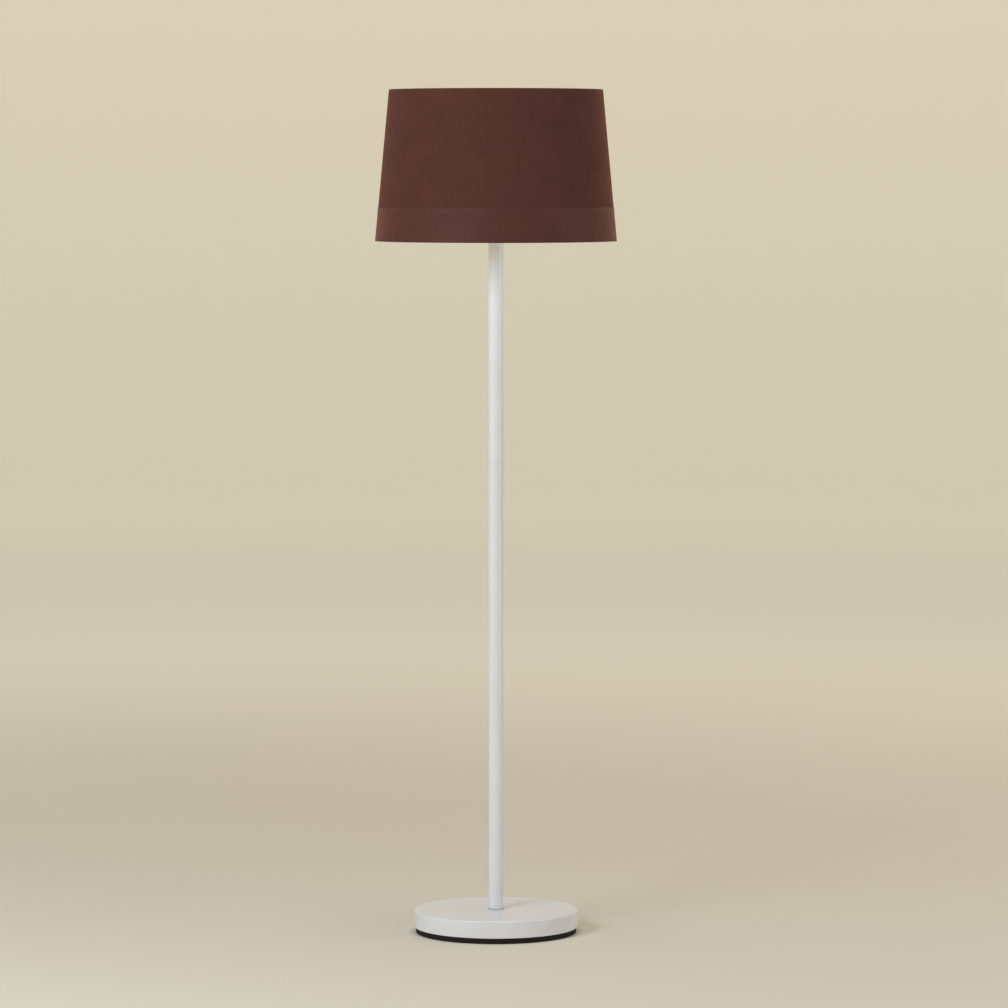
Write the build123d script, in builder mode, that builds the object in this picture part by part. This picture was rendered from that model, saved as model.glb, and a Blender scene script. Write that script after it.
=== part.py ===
from build123d import *
import os
from math import acos, atan2, cos, degrees, hypot, radians, sin

os.makedirs("parts", exist_ok=True)

# Floor lamp with a drum shade. Millimetres. The lamp stands on z = 0 with its pole on the
# Z axis; its front is -Y, and +X is on the right when it is seen from the front.

# ------------------------------------------------------------------ driving dimensions
total_height = 1422.4

base_radius = 138.5
base_top = 39.0
foot_radius = 135.8
foot_height = 9.4

pole_radius = 12.5
pole_wall = 1.2
pole_seam_z = 798.0

shade_height = 253.5
shade_top_radius = 179.4
shade_foot_radius = 203.2
hem_height = 57.0

harp_height = 204.2
harp_foot_x = 36.0

# ------------------------------------------------------------------ standard hardware
pipe_radius = 4.85  # threaded lamp pipe and every hole tapped for it
pipe_bore = 3.5
lead_radius = 1.3  # one insulated conductor
lead_spread = 1.4  # each lead runs this far from the pole's axis
running_gap = 0.1  # radial clearance between pieces that slide or turn on each other
resting_gap = 0.2  # axial clearance between pieces that only rest on each other


def write_piece(piece, name):
    """Label one finished piece and write it as its own STEP file."""
    piece.part.label = name
    export_step(piece.part, f"parts/{name}.step")


def corner(sketch, x, y):
    """The sketch's vertex at a point of its own plane."""
    return sketch.vertices().sort_by_distance((x, y))[0]


# ================================================================== base
shell_wall = 1.2
shell_top_fillet = 3.0
shell_foot_fillet = 1.5
flange_inner = 127.0
inlet_z = 20.0
inlet_neck = 5.5

# Spun steel shell: flat top, rounded shoulder, side wall and a flange rolled in at its foot.
with BuildPart() as base_shell:
    with BuildSketch(Plane.XZ) as shell_section:
        with BuildLine():
            Polyline(
                (pipe_radius, base_top - shell_wall),
                (pipe_radius, base_top),
                (base_radius, base_top),
                (base_radius, foot_height),
                (flange_inner, foot_height),
                (flange_inner, foot_height + shell_wall),
                (base_radius - shell_wall, foot_height + shell_wall),
                (base_radius - shell_wall, base_top - shell_wall),
                close=True,
            )
        make_face()
        fillet(corner(shell_section, base_radius, base_top), shell_top_fillet)
        fillet(
            corner(shell_section, base_radius - shell_wall, base_top - shell_wall),
            shell_top_fillet - shell_wall,
        )
        fillet(corner(shell_section, base_radius, foot_height), shell_foot_fillet)
    revolve(axis=Axis.Z)
    # the hole for the cord's bushing, through the back of the side wall
    with BuildSketch(Plane.XZ.offset(-base_radius - shell_wall)):
        with Locations((0, inlet_z)):
            Circle(inlet_neck)
    extrude(amount=4 * shell_wall, mode=Mode.SUBTRACT)
write_piece(base_shell, "base_shell")

# Rubber foot ring: it grips the shell's flange in a groove and carries the bottom cover on a ledge.
cover_z = 3.0
cover_radius = 120.0
cover_thickness = 1.0
ledge_width = 3.0
lip_width = 3.0
lip_height = 2.0
with BuildPart() as foot_ring:
    with BuildSketch(Plane.XZ) as ring_section:
        with BuildLine():
            Polyline(
                (cover_radius - ledge_width, 0),
                (foot_radius, 0),
                (foot_radius, foot_height),
                (flange_inner, foot_height),
                (flange_inner, foot_height + shell_wall),
                (flange_inner + lip_width, foot_height + shell_wall),
                (flange_inner + lip_width, foot_height + shell_wall + lip_height),
                (cover_radius, foot_height + shell_wall + lip_height),
                (cover_radius, cover_z),
                (cover_radius - ledge_width, cover_z),
                close=True,
            )
        make_face()
        fillet(corner(ring_section, foot_radius, 0), 1.0)
    revolve(axis=Axis.Z)
write_piece(foot_ring, "foot_ring")

# Cast iron weight against the underside of the shell's top, with three bosses for the cover's screws.
weight_radius = 128.0
weight_thickness = 12.0
weight_bottom = base_top - shell_wall - weight_thickness
boss_radius = 6.0
boss_circle = 100.0
boss_start_angle = 30.0
screw_radius = 2.0
screw_depth = 11.0
with BuildPart() as base_weight:
    with BuildSketch(Plane.XY.offset(weight_bottom)):
        Circle(weight_radius)
    extrude(amount=weight_thickness)
    rim_edges = base_weight.edges().filter_by(GeomType.CIRCLE).group_by(SortBy.RADIUS)[-1]
    fillet(rim_edges, 2.0)
    with BuildSketch(Plane.XY.offset(cover_z + cover_thickness)):
        with PolarLocations(boss_circle, 3, boss_start_angle):
            Circle(boss_radius)
    extrude(until=Until.NEXT)
    with BuildSketch(Plane.XY.offset(cover_z + cover_thickness)):
        with PolarLocations(boss_circle, 3, boss_start_angle):
            Circle(screw_radius)
    extrude(amount=screw_depth, mode=Mode.SUBTRACT)
    with BuildSketch(Plane.XY.offset(weight_bottom)):
        Circle(pipe_radius)
    extrude(amount=weight_thickness, mode=Mode.SUBTRACT)
write_piece(base_weight, "base_weight")

# Steel plate that closes the underside, and the three pan-head screws that hold it.
with BuildPart() as bottom_cover:
    with BuildSketch(Plane.XY.offset(cover_z)):
        Circle(cover_radius)
        with PolarLocations(boss_circle, 3, boss_start_angle):
            Circle(screw_radius, mode=Mode.SUBTRACT)
    extrude(amount=cover_thickness)
write_piece(bottom_cover, "bottom_cover")

head_height = 2.2
head_radius = 3.6
with BuildPart() as cover_screws:
    with BuildSketch(Plane.XY.offset(cover_z - head_height)):
        with PolarLocations(boss_circle, 3, boss_start_angle):
            Circle(head_radius)
    extrude(amount=head_height)
    fillet(cover_screws.edges().group_by(Axis.Z)[0], 0.9)
    with BuildSketch(Plane.XY.offset(cover_z)):
        with PolarLocations(boss_circle, 3, boss_start_angle):
            Circle(screw_radius)
    extrude(amount=screw_depth - 1)
    with BuildSketch(Plane.XY.offset(cover_z - head_height)):
        with PolarLocations(boss_circle, 3, boss_start_angle):
            Rectangle(4.4, 0.9)
            Rectangle(0.9, 4.4)
    extrude(amount=1.2, mode=Mode.SUBTRACT)
write_piece(cover_screws, "cover_screws")

# Clamping stack under the weight: plain washer, split lock washer and hexagon nut on a threaded pipe.
washer_thickness = 1.5
nut_height = 5.0
nut_across_flats = 17.0
lock_washer_z = weight_bottom - 2 * washer_thickness
nut_z = lock_washer_z - nut_height
pipe_end = nut_z - 1.5
gasket_thickness = 1.2
pole_bottom = base_top + gasket_thickness
insert_length = 20.0
with BuildPart() as base_washer:
    with BuildSketch(Plane.XY.offset(weight_bottom - washer_thickness)):
        Circle(16.0)
        Circle(pipe_radius, mode=Mode.SUBTRACT)
    extrude(amount=washer_thickness)
write_piece(base_washer, "base_washer")

with BuildPart() as lock_washer:
    with BuildSketch(Plane.XY.offset(lock_washer_z)):
        Circle(8.6)
        Circle(pipe_radius, mode=Mode.SUBTRACT)
        with Locations((7.0, 0)):
            Rectangle(6.0, 1.2, mode=Mode.SUBTRACT)
    extrude(amount=washer_thickness)
write_piece(lock_washer, "lock_washer")

with BuildPart() as base_nut:
    with BuildSketch(Plane.XY.offset(nut_z)):
        RegularPolygon(nut_across_flats / 2, 6, major_radius=False)
        Circle(pipe_radius, mode=Mode.SUBTRACT)
    extrude(amount=nut_height)
    chamfer(base_nut.edges().group_by(Axis.Z)[0].filter_by(GeomType.LINE), 0.5)
write_piece(base_nut, "base_nut")

with BuildPart() as base_nipple:
    with BuildSketch(Plane.XY.offset(pipe_end)):
        Circle(pipe_radius)
        Circle(pipe_bore, mode=Mode.SUBTRACT)
    extrude(amount=pole_bottom + insert_length - pipe_end)
write_piece(base_nipple, "base_nipple")

# Bushing for the supply cord: a round grommet snapped into the back of the shell, bored through.
bushing_bore = 3.4
bushing_flange = 8.0
bushing_barb = 6.6
flange_thickness = 2.0
barb_face = base_radius - shell_wall - 0.2
barb_length = 4.0
bushing_end = barb_face - barb_length
with BuildPart() as cord_bushing:
    with BuildSketch(Plane.YZ) as bushing_section:
        with BuildLine():
            Polyline(
                (bushing_end, inlet_z + bushing_bore),
                (bushing_end, inlet_z + bushing_barb - 0.6),
                (barb_face, inlet_z + bushing_barb),
                (barb_face, inlet_z + inlet_neck),
                (base_radius, inlet_z + inlet_neck),
                (base_radius, inlet_z + bushing_flange),
                (base_radius + flange_thickness, inlet_z + bushing_flange),
                (base_radius + flange_thickness, inlet_z + bushing_bore),
                close=True,
            )
        make_face()
        fillet(
            corner(bushing_section, base_radius + flange_thickness, inlet_z + bushing_flange),
            1.2,
        )
    revolve(axis=Axis((0, 0, inlet_z), (0, 1, 0)))
write_piece(cord_bushing, "cord_bushing")

# Connector block screwed to the underside of the weight, with two wire holes through it.
block_size = (26.0, 18.0, 12.0)
block_y = 59.0
block_bottom = weight_bottom - block_size[2]
wire_hole_x = 6.5
wire_hole_z = block_bottom + 6.0
clamp_screw_radius = 1.6
clamp_offset = 4.5
with BuildPart() as connector_block:
    with BuildSketch(Plane.XY.offset(block_bottom)):
        with Locations((0, block_y)):
            RectangleRounded(block_size[0], block_size[1], 2.0)
    extrude(amount=block_size[2])
    with BuildSketch(Plane.XZ.offset(-block_y - block_size[1] / 2)):
        with Locations((wire_hole_x, wire_hole_z), (-wire_hole_x, wire_hole_z)):
            Circle(lead_radius)
    extrude(amount=block_size[1], mode=Mode.SUBTRACT)
    with BuildSketch(Plane.XY.offset(block_bottom)):
        with Locations((0, block_y)):
            Circle(1.75)
            with GridLocations(2 * wire_hole_x, 2 * clamp_offset, 2, 2):
                Circle(clamp_screw_radius)
    extrude(amount=wire_hole_z - lead_radius - block_bottom, mode=Mode.SUBTRACT)
    with BuildSketch(Plane.XY.offset(block_bottom)):
        with Locations((0, block_y)):
            Circle(1.75)
    extrude(amount=block_size[2], mode=Mode.SUBTRACT)
write_piece(connector_block, "connector_block")

with BuildPart() as clamp_screws:
    with BuildSketch(Plane.XY.offset(block_bottom + 0.6)):
        with Locations((0, block_y)):
            with GridLocations(2 * wire_hole_x, 2 * clamp_offset, 2, 2):
                Circle(clamp_screw_radius)
    extrude(amount=wire_hole_z - lead_radius - block_bottom - 0.6)
    with BuildSketch(Plane.XY.offset(block_bottom + 0.6)):
        with Locations((0, block_y)):
            with GridLocations(2 * wire_hole_x, 2 * clamp_offset, 2, 2):
                Rectangle(2.4, 0.6)
    extrude(amount=0.8, mode=Mode.SUBTRACT)
write_piece(clamp_screws, "clamp_screws")

with BuildPart() as block_screw:
    with BuildSketch(Plane.XY.offset(block_bottom)):
        with Locations((0, block_y)):
            Circle(1.75)
    extrude(amount=block_size[2])
    with BuildSketch(Plane.XY.offset(block_bottom - 1.8)):
        with Locations((0, block_y)):
            Circle(2.6)
    extrude(amount=1.8)
write_piece(block_screw, "block_screw")

# ================================================================== pole
tube_bore = pole_radius - pole_wall
saddle_z = total_height - 30.2 - harp_height
check_ring_height = 4.0
pole_top = saddle_z - check_ring_height
seam_chamfer = 0.35

# Grey gasket on which the pole stands; it shows as a thin line round the pole's foot.
with BuildPart() as pole_gasket:
    with BuildSketch(Plane.XY.offset(base_top)):
        Circle(pole_radius + 1.0)
        Circle(pipe_radius, mode=Mode.SUBTRACT)
    extrude(amount=gasket_thickness)
write_piece(pole_gasket, "pole_gasket")

with BuildPart() as pole_lower:
    with BuildSketch(Plane.XY.offset(pole_bottom)):
        Circle(pole_radius)
        Circle(tube_bore, mode=Mode.SUBTRACT)
    extrude(amount=pole_seam_z - pole_bottom)
    seam_edge = pole_lower.edges().group_by(Axis.Z)[-1].sort_by(SortBy.RADIUS)[-1]
    chamfer(seam_edge, seam_chamfer)
write_piece(pole_lower, "pole_lower")

with BuildPart() as pole_upper:
    with BuildSketch(Plane.XY.offset(pole_seam_z)):
        Circle(pole_radius)
        Circle(tube_bore, mode=Mode.SUBTRACT)
    extrude(amount=pole_top - pole_seam_z)
    seam_edge = pole_upper.edges().group_by(Axis.Z)[0].sort_by(SortBy.RADIUS)[-1]
    chamfer(seam_edge, seam_chamfer)
write_piece(pole_upper, "pole_upper")

# Tapped plugs pressed into the foot of the lower tube and the top of the upper one.
for insert_name, insert_z in (
    ("pole_foot_insert", pole_bottom),
    ("pole_top_insert", pole_top - insert_length),
):
    with BuildPart() as pole_insert:
        with BuildSketch(Plane.XY.offset(insert_z)):
            Circle(tube_bore)
            Circle(pipe_radius, mode=Mode.SUBTRACT)
        extrude(amount=insert_length)
    write_piece(pole_insert, insert_name)

# The two halves of the screwed coupling behind the seam, both bored for the leads.
coupler_length = 26.0
stud_radius = 7.0
stud_length = 18.0
lead_bore = 4.5
with BuildPart() as coupler_socket:
    with BuildSketch(Plane.XY.offset(pole_seam_z - coupler_length)):
        Circle(tube_bore)
        Circle(lead_bore, mode=Mode.SUBTRACT)
    extrude(amount=coupler_length)
    with BuildSketch(Plane.XY.offset(pole_seam_z - stud_length - 2)):
        Circle(stud_radius)
    extrude(amount=stud_length + 2, mode=Mode.SUBTRACT)
write_piece(coupler_socket, "coupler_socket")

with BuildPart() as coupler_stud:
    with BuildSketch(Plane.XY.offset(pole_seam_z)):
        Circle(tube_bore)
    extrude(amount=coupler_length)
    with BuildSketch(Plane.XY.offset(pole_seam_z - stud_length)):
        Circle(stud_radius)
    extrude(amount=stud_length)
    chamfer(coupler_stud.edges().group_by(Axis.Z)[0], 1.0)
    with BuildSketch(Plane.XY.offset(pole_seam_z - stud_length)):
        Circle(lead_bore)
    extrude(amount=stud_length + coupler_length, mode=Mode.SUBTRACT)
write_piece(coupler_stud, "coupler_stud")

# ================================================================== lampholder
# Check ring: the turned collar that finishes the top of the pole under the saddle.
with BuildPart() as check_ring:
    with BuildSketch(Plane.XY.offset(pole_top)):
        Circle(pole_radius + 1.5)
        Circle(pipe_radius, mode=Mode.SUBTRACT)
    extrude(amount=check_ring_height)
    fillet(check_ring.edges().group_by(Axis.Z)[-1].sort_by(SortBy.RADIUS)[-1], 2.0)
write_piece(check_ring, "check_ring")

saddle_thickness = 1.6
cap_z = saddle_z + saddle_thickness
hub_height = 6.6
nipple_below = 16.0
with BuildPart() as socket_nipple:
    with BuildSketch(Plane.XY.offset(pole_top - nipple_below)):
        Circle(pipe_radius)
        Circle(pipe_bore, mode=Mode.SUBTRACT)
    extrude(amount=cap_z + hub_height - pole_top + nipple_below)
write_piece(socket_nipple, "socket_nipple")

# Harp saddle: a steel strip with two upturned ears; each ends in a shoulder and a locating pin.
saddle_width = 10.0
ear_height = 16.0
ear_bend = 6.0
ear_top = saddle_z + ear_height
pin_radius = 1.6
pin_length = 16.0
shoulder_height = 1.4
shoulder_radius = 3.4
saddle_reach = harp_foot_x + saddle_thickness / 2
with BuildPart() as harp_saddle:
    with BuildSketch(Plane.XZ.offset(-saddle_width / 2)) as strip:
        with BuildLine():
            Polyline(
                (-saddle_reach, ear_top),
                (-saddle_reach, saddle_z),
                (saddle_reach, saddle_z),
                (saddle_reach, ear_top),
                (saddle_reach - saddle_thickness, ear_top),
                (saddle_reach - saddle_thickness, cap_z),
                (saddle_thickness - saddle_reach, cap_z),
                (saddle_thickness - saddle_reach, ear_top),
                close=True,
            )
        make_face()
        for side in (-1, 1):
            fillet(corner(strip, side * saddle_reach, saddle_z), ear_bend)
            fillet(
                corner(strip, side * (saddle_reach - saddle_thickness), cap_z),
                ear_bend - saddle_thickness,
            )
    extrude(amount=saddle_width)
    with BuildSketch(Plane.XY.offset(saddle_z)):
        Circle(pole_radius - 1.5)
    extrude(amount=saddle_thickness)
    with BuildSketch(Plane.XY.offset(saddle_z)):
        Circle(pipe_radius)
    extrude(amount=saddle_thickness, mode=Mode.SUBTRACT)
    with BuildSketch(Plane.XY.offset(ear_top)):
        with Locations((harp_foot_x, 0), (-harp_foot_x, 0)):
            Circle(shoulder_radius)
    extrude(amount=shoulder_height)
    with BuildSketch(Plane.XY.offset(ear_top + shoulder_height)):
        with Locations((harp_foot_x, 0), (-harp_foot_x, 0)):
            Circle(pin_radius)
    extrude(amount=pin_length)
    chamfer(harp_saddle.edges().group_by(Axis.Z)[-1], 0.5)
write_piece(harp_saddle, "harp_saddle")

# Socket cap: a dished cup screwed on the pipe, with a ledge that carries everything above it.
ledge_z = cap_z + 15.0
shell_radius = 16.4
cap_wall = 0.8
cavity_radius = 14.0
cap_rim = ledge_z + 4.6
set_screw_radius = 1.5
set_screw_z = cap_z + hub_height / 2
hub_radius = 8.0
with BuildPart() as socket_cap:
    with BuildSketch(Plane.XZ) as cap_section:
        with BuildLine():
            Polyline(
                (pipe_radius, cap_z),
                (hub_radius, cap_z),
                (hub_radius, cap_z + hub_height - 1),
                (shell_radius + cap_wall, ledge_z - 2.4),
                (shell_radius + cap_wall, cap_rim),
                (shell_radius, cap_rim),
                (shell_radius, ledge_z),
                (cavity_radius, ledge_z),
                (cavity_radius, ledge_z - 1.6),
                (hub_radius - 0.4, cap_z + hub_height),
                (pipe_radius, cap_z + hub_height),
                close=True,
            )
        make_face()
        fillet(corner(cap_section, shell_radius + cap_wall, ledge_z - 2.4), 4.0)
        fillet(corner(cap_section, hub_radius, cap_z + hub_height - 1), 2.0)
    revolve(axis=Axis.Z)
    with BuildSketch(Plane.XZ.offset(-hub_radius)):
        with Locations((0, set_screw_z)):
            Circle(set_screw_radius)
    extrude(amount=hub_radius - pipe_radius + 1, mode=Mode.SUBTRACT)
write_piece(socket_cap, "socket_cap")

# Set screw in the back of the cap's hub, seated against the threaded pipe.
with BuildPart() as cap_screw:
    with BuildSketch(Plane.XZ.offset(-hub_radius - 1.2)):
        with Locations((0, set_screw_z)):
            Circle(set_screw_radius)
    extrude(amount=hub_radius + 1.2 - pipe_radius)
    with BuildSketch(Plane.XZ.offset(-hub_radius - 1.2)):
        with Locations((0, set_screw_z)):
            Rectangle(2.4, 0.6)
    extrude(amount=0.8, mode=Mode.SUBTRACT)
write_piece(cap_screw, "cap_screw")

# Outer metal shell with a beaded mouth, and the fibre sleeve that insulates it.
shell_sheet = 0.6
sleeve_sheet = 0.5
shell_length = 47.0
switch_z = ledge_z + 9.0
shaft_hole = 2.2
bead_radius = 1.0
with BuildPart() as socket_shell:
    with BuildSketch(Plane.XY.offset(ledge_z)):
        Circle(shell_radius)
        Circle(shell_radius - shell_sheet, mode=Mode.SUBTRACT)
    extrude(amount=shell_length)
    with BuildSketch(Plane.XZ):
        with Locations((shell_radius, ledge_z + shell_length - bead_radius)):
            Circle(bead_radius)
        with Locations((shell_radius - shell_sheet - bead_radius, ledge_z + shell_length / 2)):
            Rectangle(2 * bead_radius, shell_length, mode=Mode.SUBTRACT)
    revolve(axis=Axis.Z)
    with BuildSketch(Plane.XZ):
        with Locations((0, switch_z)):
            Circle(shaft_hole)
    extrude(amount=shell_radius + 1, mode=Mode.SUBTRACT)
write_piece(socket_shell, "socket_shell")

sleeve_radius = shell_radius - shell_sheet
body_radius = sleeve_radius - sleeve_sheet
with BuildPart() as socket_liner:
    with BuildSketch(Plane.XY.offset(ledge_z)):
        Circle(sleeve_radius)
        Circle(body_radius, mode=Mode.SUBTRACT)
    extrude(amount=shell_length - 1)
    with BuildSketch(Plane.XZ):
        with Locations((0, switch_z)):
            Circle(shaft_hole)
    extrude(amount=sleeve_radius + 1, mode=Mode.SUBTRACT)
write_piece(socket_liner, "socket_liner")

# Moulded body: a pocket on each side for its terminal screw, and a bore for the switch's shaft.
body_height = 21.5
body_top = ledge_z + body_height
pocket_floor = 10.5
pocket_height = 13.0
pocket_width = 8.0
terminal_z = ledge_z + 8.0
terminal_radius = 1.4
terminal_depth = 4.0
shaft_radius = 1.6
shaft_end = 6.0
with BuildPart() as socket_body:
    with BuildSketch(Plane.XY.offset(ledge_z)):
        Circle(body_radius)
    extrude(amount=body_height)
    with BuildSketch(Plane.XY.offset(ledge_z)):
        for side in (-1, 1):
            with Locations((side * (pocket_floor + pocket_width / 2), 0)):
                Rectangle(pocket_width, pocket_width)
    extrude(amount=pocket_height, mode=Mode.SUBTRACT)
    with BuildSketch(Plane.YZ.offset(-pocket_floor)):
        with Locations((0, terminal_z)):
            Circle(terminal_radius)
    extrude(amount=terminal_depth, mode=Mode.SUBTRACT)
    with BuildSketch(Plane.YZ.offset(pocket_floor - terminal_depth)):
        with Locations((0, terminal_z)):
            Circle(terminal_radius)
    extrude(amount=terminal_depth, mode=Mode.SUBTRACT)
    with BuildSketch(Plane.XZ.offset(shaft_end - resting_gap)):
        with Locations((0, switch_z)):
            Circle(shaft_radius + running_gap / 2)
    extrude(amount=body_radius, mode=Mode.SUBTRACT)
write_piece(socket_body, "socket_body")

# Two binding screws, one on each side; the leads end under their heads.
terminal_head = 3.2
terminal_head_height = 1.5
terminal_face = pocket_floor + 2 * lead_radius
with BuildPart() as terminal_screws:
    for side in (-1, 1):
        shank_x = side * (pocket_floor - terminal_depth)
        with BuildSketch(Plane(origin=(shank_x, 0, terminal_z), z_dir=(side, 0, 0))):
            Circle(terminal_radius)
        extrude(amount=terminal_face - pocket_floor + terminal_depth)
        with BuildSketch(Plane(origin=(side * terminal_face, 0, terminal_z), z_dir=(side, 0, 0))):
            Circle(terminal_head)
        extrude(amount=terminal_head_height)
write_piece(terminal_screws, "terminal_screws")

# Screw shell for the bulb's cap, and the sprung centre contact inside its foot.
thread_bore = 13.4
screw_shell_sheet = 0.5
screw_shell_height = 24.0
contact_sheet = 0.6
contact_radius = 4.0
contact_rise = 3.0
with BuildPart() as screw_shell:
    with BuildSketch(Plane.XY.offset(body_top)):
        Circle(thread_bore + screw_shell_sheet)
        Circle(7.0, mode=Mode.SUBTRACT)
    extrude(amount=screw_shell_sheet)
    with BuildSketch(Plane.XY.offset(body_top + screw_shell_sheet)):
        Circle(thread_bore + screw_shell_sheet)
        Circle(thread_bore, mode=Mode.SUBTRACT)
    extrude(amount=screw_shell_height - screw_shell_sheet)
write_piece(screw_shell, "screw_shell")

with BuildPart() as centre_contact:
    with BuildSketch(Plane.XZ.offset(-contact_radius / 2)) as tongue:
        with BuildLine():
            Polyline(
                (-contact_radius, body_top),
                (contact_radius, body_top),
                (contact_radius, body_top + contact_sheet),
                (-contact_radius + 2 * contact_sheet, body_top + contact_sheet),
                (0, body_top + contact_rise - contact_sheet),
                (contact_radius, body_top + contact_rise - contact_sheet),
                (contact_radius, body_top + contact_rise),
                (-contact_sheet, body_top + contact_rise),
                (-contact_radius, body_top + contact_sheet),
                close=True,
            )
        make_face()
    extrude(amount=contact_radius)
write_piece(centre_contact, "centre_contact")

# ================================================================== switch, turned by its knob
knob_face = shell_radius + 5.6
knob_length = 12.0
knob_radius = 5.5
flute_count = 12
with BuildPart() as switch_shaft:
    with BuildSketch(Plane.XZ.offset(shaft_end)):
        with Locations((0, switch_z)):
            Circle(shaft_radius)
    extrude(amount=knob_face + knob_length / 2 - shaft_end)
write_piece(switch_shaft, "switch_shaft")

with BuildPart() as switch_knob:
    with BuildSketch(Plane.XZ.offset(knob_face)):
        with Locations((0, switch_z)):
            Circle(knob_radius)
            with PolarLocations(knob_radius + 0.35, flute_count):
                Circle(0.8, mode=Mode.SUBTRACT)
    extrude(amount=knob_length, taper=4)
    fillet(switch_knob.faces().sort_by(Axis.Y)[0].edges(), 0.3)
    with BuildSketch(Plane.XZ.offset(knob_face)):
        with Locations((0, switch_z)):
            Circle(shaft_radius)
    extrude(amount=knob_length / 2, mode=Mode.SUBTRACT)
write_piece(switch_knob, "switch_knob")

# ================================================================== the lamp's own leads
# Each runs from the connector block, under the threaded pipe, up the pole and out to its terminal.
lead_floor = cover_z + cover_thickness + lead_radius + 0.8
lead_start_y = block_y - block_size[1] / 2 + 5
lead_end_z = terminal_z - terminal_radius - 1.0
fan_out_z = cap_z + hub_height + 1.6
for side, lead_name in ((-1, "lead_live"), (1, "lead_neutral")):
    with BuildPart() as lead:
        with BuildLine() as lead_route:
            FilletPolyline(
                (side * wire_hole_x, lead_start_y, wire_hole_z),
                (side * wire_hole_x, lead_start_y - 18, wire_hole_z),
                (side * lead_spread, 17, lead_floor),
                (side * lead_spread, 0, lead_floor),
                (side * lead_spread, 0, fan_out_z),
                (side * (pocket_floor + lead_radius), 0, ledge_z - 2.2),
                (side * (pocket_floor + lead_radius), 0, lead_end_z),
                radius=[14, 14, 8, 3, 3],
            )
        with BuildSketch(Plane(origin=lead_route.line @ 0, z_dir=lead_route.line % 0)):
            Circle(lead_radius)
        sweep()
    write_piece(lead, lead_name)

# ================================================================== bulb
contact_z = body_top + contact_rise + 0.3
bulb_length = 109.0
bulb_radius = 30.0
cap_radius = 13.1
neck_radius = 12.1
glass_wall = 0.9
tip_height = 1.0
insulator_height = 2.8
bulb_cap_z = contact_z + tip_height + insulator_height
bulb_cap_height = 24.0
bulb_cap_top = bulb_cap_z + bulb_cap_height
neck_z = bulb_cap_top - 8.0
shoulder_z = bulb_cap_top + 6.0
globe_z = contact_z + bulb_length - bulb_radius
with BuildPart() as bulb_glass:
    for inset, glass_mode in ((0, Mode.ADD), (glass_wall, Mode.SUBTRACT)):
        neck = neck_radius - inset
        globe = bulb_radius - inset
        # the straight flank from the neck touches the round globe at this angle from straight down
        flank = atan2(neck, globe_z - shoulder_z) + acos(globe / hypot(neck, globe_z - shoulder_z))
        touch = (globe * sin(flank), globe_z - globe * cos(flank))
        with BuildSketch(Plane.XZ) as globe_section:
            with BuildLine():
                Line((0, neck_z), (neck, neck_z))
                Line((neck, neck_z), (neck, shoulder_z))
                Line((neck, shoulder_z), touch)
                ThreePointArc(touch, (globe, globe_z), (0, globe_z + globe))
                Line((0, globe_z + globe), (0, neck_z))
            make_face()
            fillet(corner(globe_section, neck, shoulder_z), 20.0 + inset)
        revolve(axis=Axis.Z, mode=glass_mode)
write_piece(bulb_glass, "bulb_glass")

# Rolled metal cap: a sleeve with rounded thread turns, cemented round the neck of the glass.
thread_turns = 5
thread_pitch = 3.6
thread_depth = 0.5
with BuildPart() as bulb_cap:
    with BuildSketch(Plane.XZ):
        with BuildLine():
            Polyline(
                (9.0, bulb_cap_z),
                (cap_radius - thread_depth, bulb_cap_z + 2.5),
                (cap_radius - thread_depth, bulb_cap_top),
                (neck_radius, bulb_cap_top),
                (neck_radius, bulb_cap_z + 3.0),
                (9.0, bulb_cap_z + 0.8),
                close=True,
            )
        make_face()
        for turn in range(thread_turns):
            with Locations((cap_radius - thread_depth, bulb_cap_z + 4.2 + turn * thread_pitch)):
                Ellipse(thread_depth, 1.2)
    revolve(axis=Axis.Z)
write_piece(bulb_cap, "bulb_cap")

with BuildPart() as bulb_insulator:
    with BuildSketch(Plane.XZ):
        with BuildLine():
            Polyline(
                (0, bulb_cap_z - insulator_height),
                (4.8, bulb_cap_z - insulator_height),
                (9.0, bulb_cap_z),
                (9.0, bulb_cap_z + 0.8),
                (0, bulb_cap_z + 0.8),
                close=True,
            )
        make_face()
    revolve(axis=Axis.Z)
write_piece(bulb_insulator, "bulb_insulator")

with BuildPart() as bulb_contact:
    with BuildSketch(Plane.XY.offset(contact_z)):
        Circle(4.6)
    extrude(amount=tip_height)
    fillet(bulb_contact.edges().group_by(Axis.Z)[0], 0.7)
write_piece(bulb_contact, "bulb_contact")

# Glass stem on the neck's axis, and four straight filaments that lean out from its top.
stem_z = neck_z
stem_top = globe_z - 8.0
filament_length = 30.0
filament_lean = 14.0
with BuildPart() as bulb_stem:
    with BuildSketch(Plane.XZ) as stem_section:
        with BuildLine():
            Polyline(
                (0, stem_z),
                (neck_radius - glass_wall, stem_z),
                (neck_radius - glass_wall, stem_z + 2),
                (5.0, stem_z + 12),
                (3.0, stem_top),
                (0, stem_top),
                close=True,
            )
        make_face()
        fillet(corner(stem_section, 5.0, stem_z + 12), 5.0)
    revolve(axis=Axis.Z)
write_piece(bulb_stem, "bulb_stem")

with BuildPart() as bulb_filaments:
    for quarter in range(4):
        azimuth = radians(45 + 90 * quarter)
        lean = radians(filament_lean)
        outward = Vector(cos(azimuth), sin(azimuth), 0)
        rise = outward * sin(lean) + Vector(0, 0, cos(lean))
        with BuildSketch(Plane(origin=outward * 5.5 + Vector(0, 0, stem_top - 12), z_dir=rise)):
            Circle(0.9)
        extrude(amount=filament_length)
write_piece(bulb_filaments, "bulb_filaments")

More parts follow.
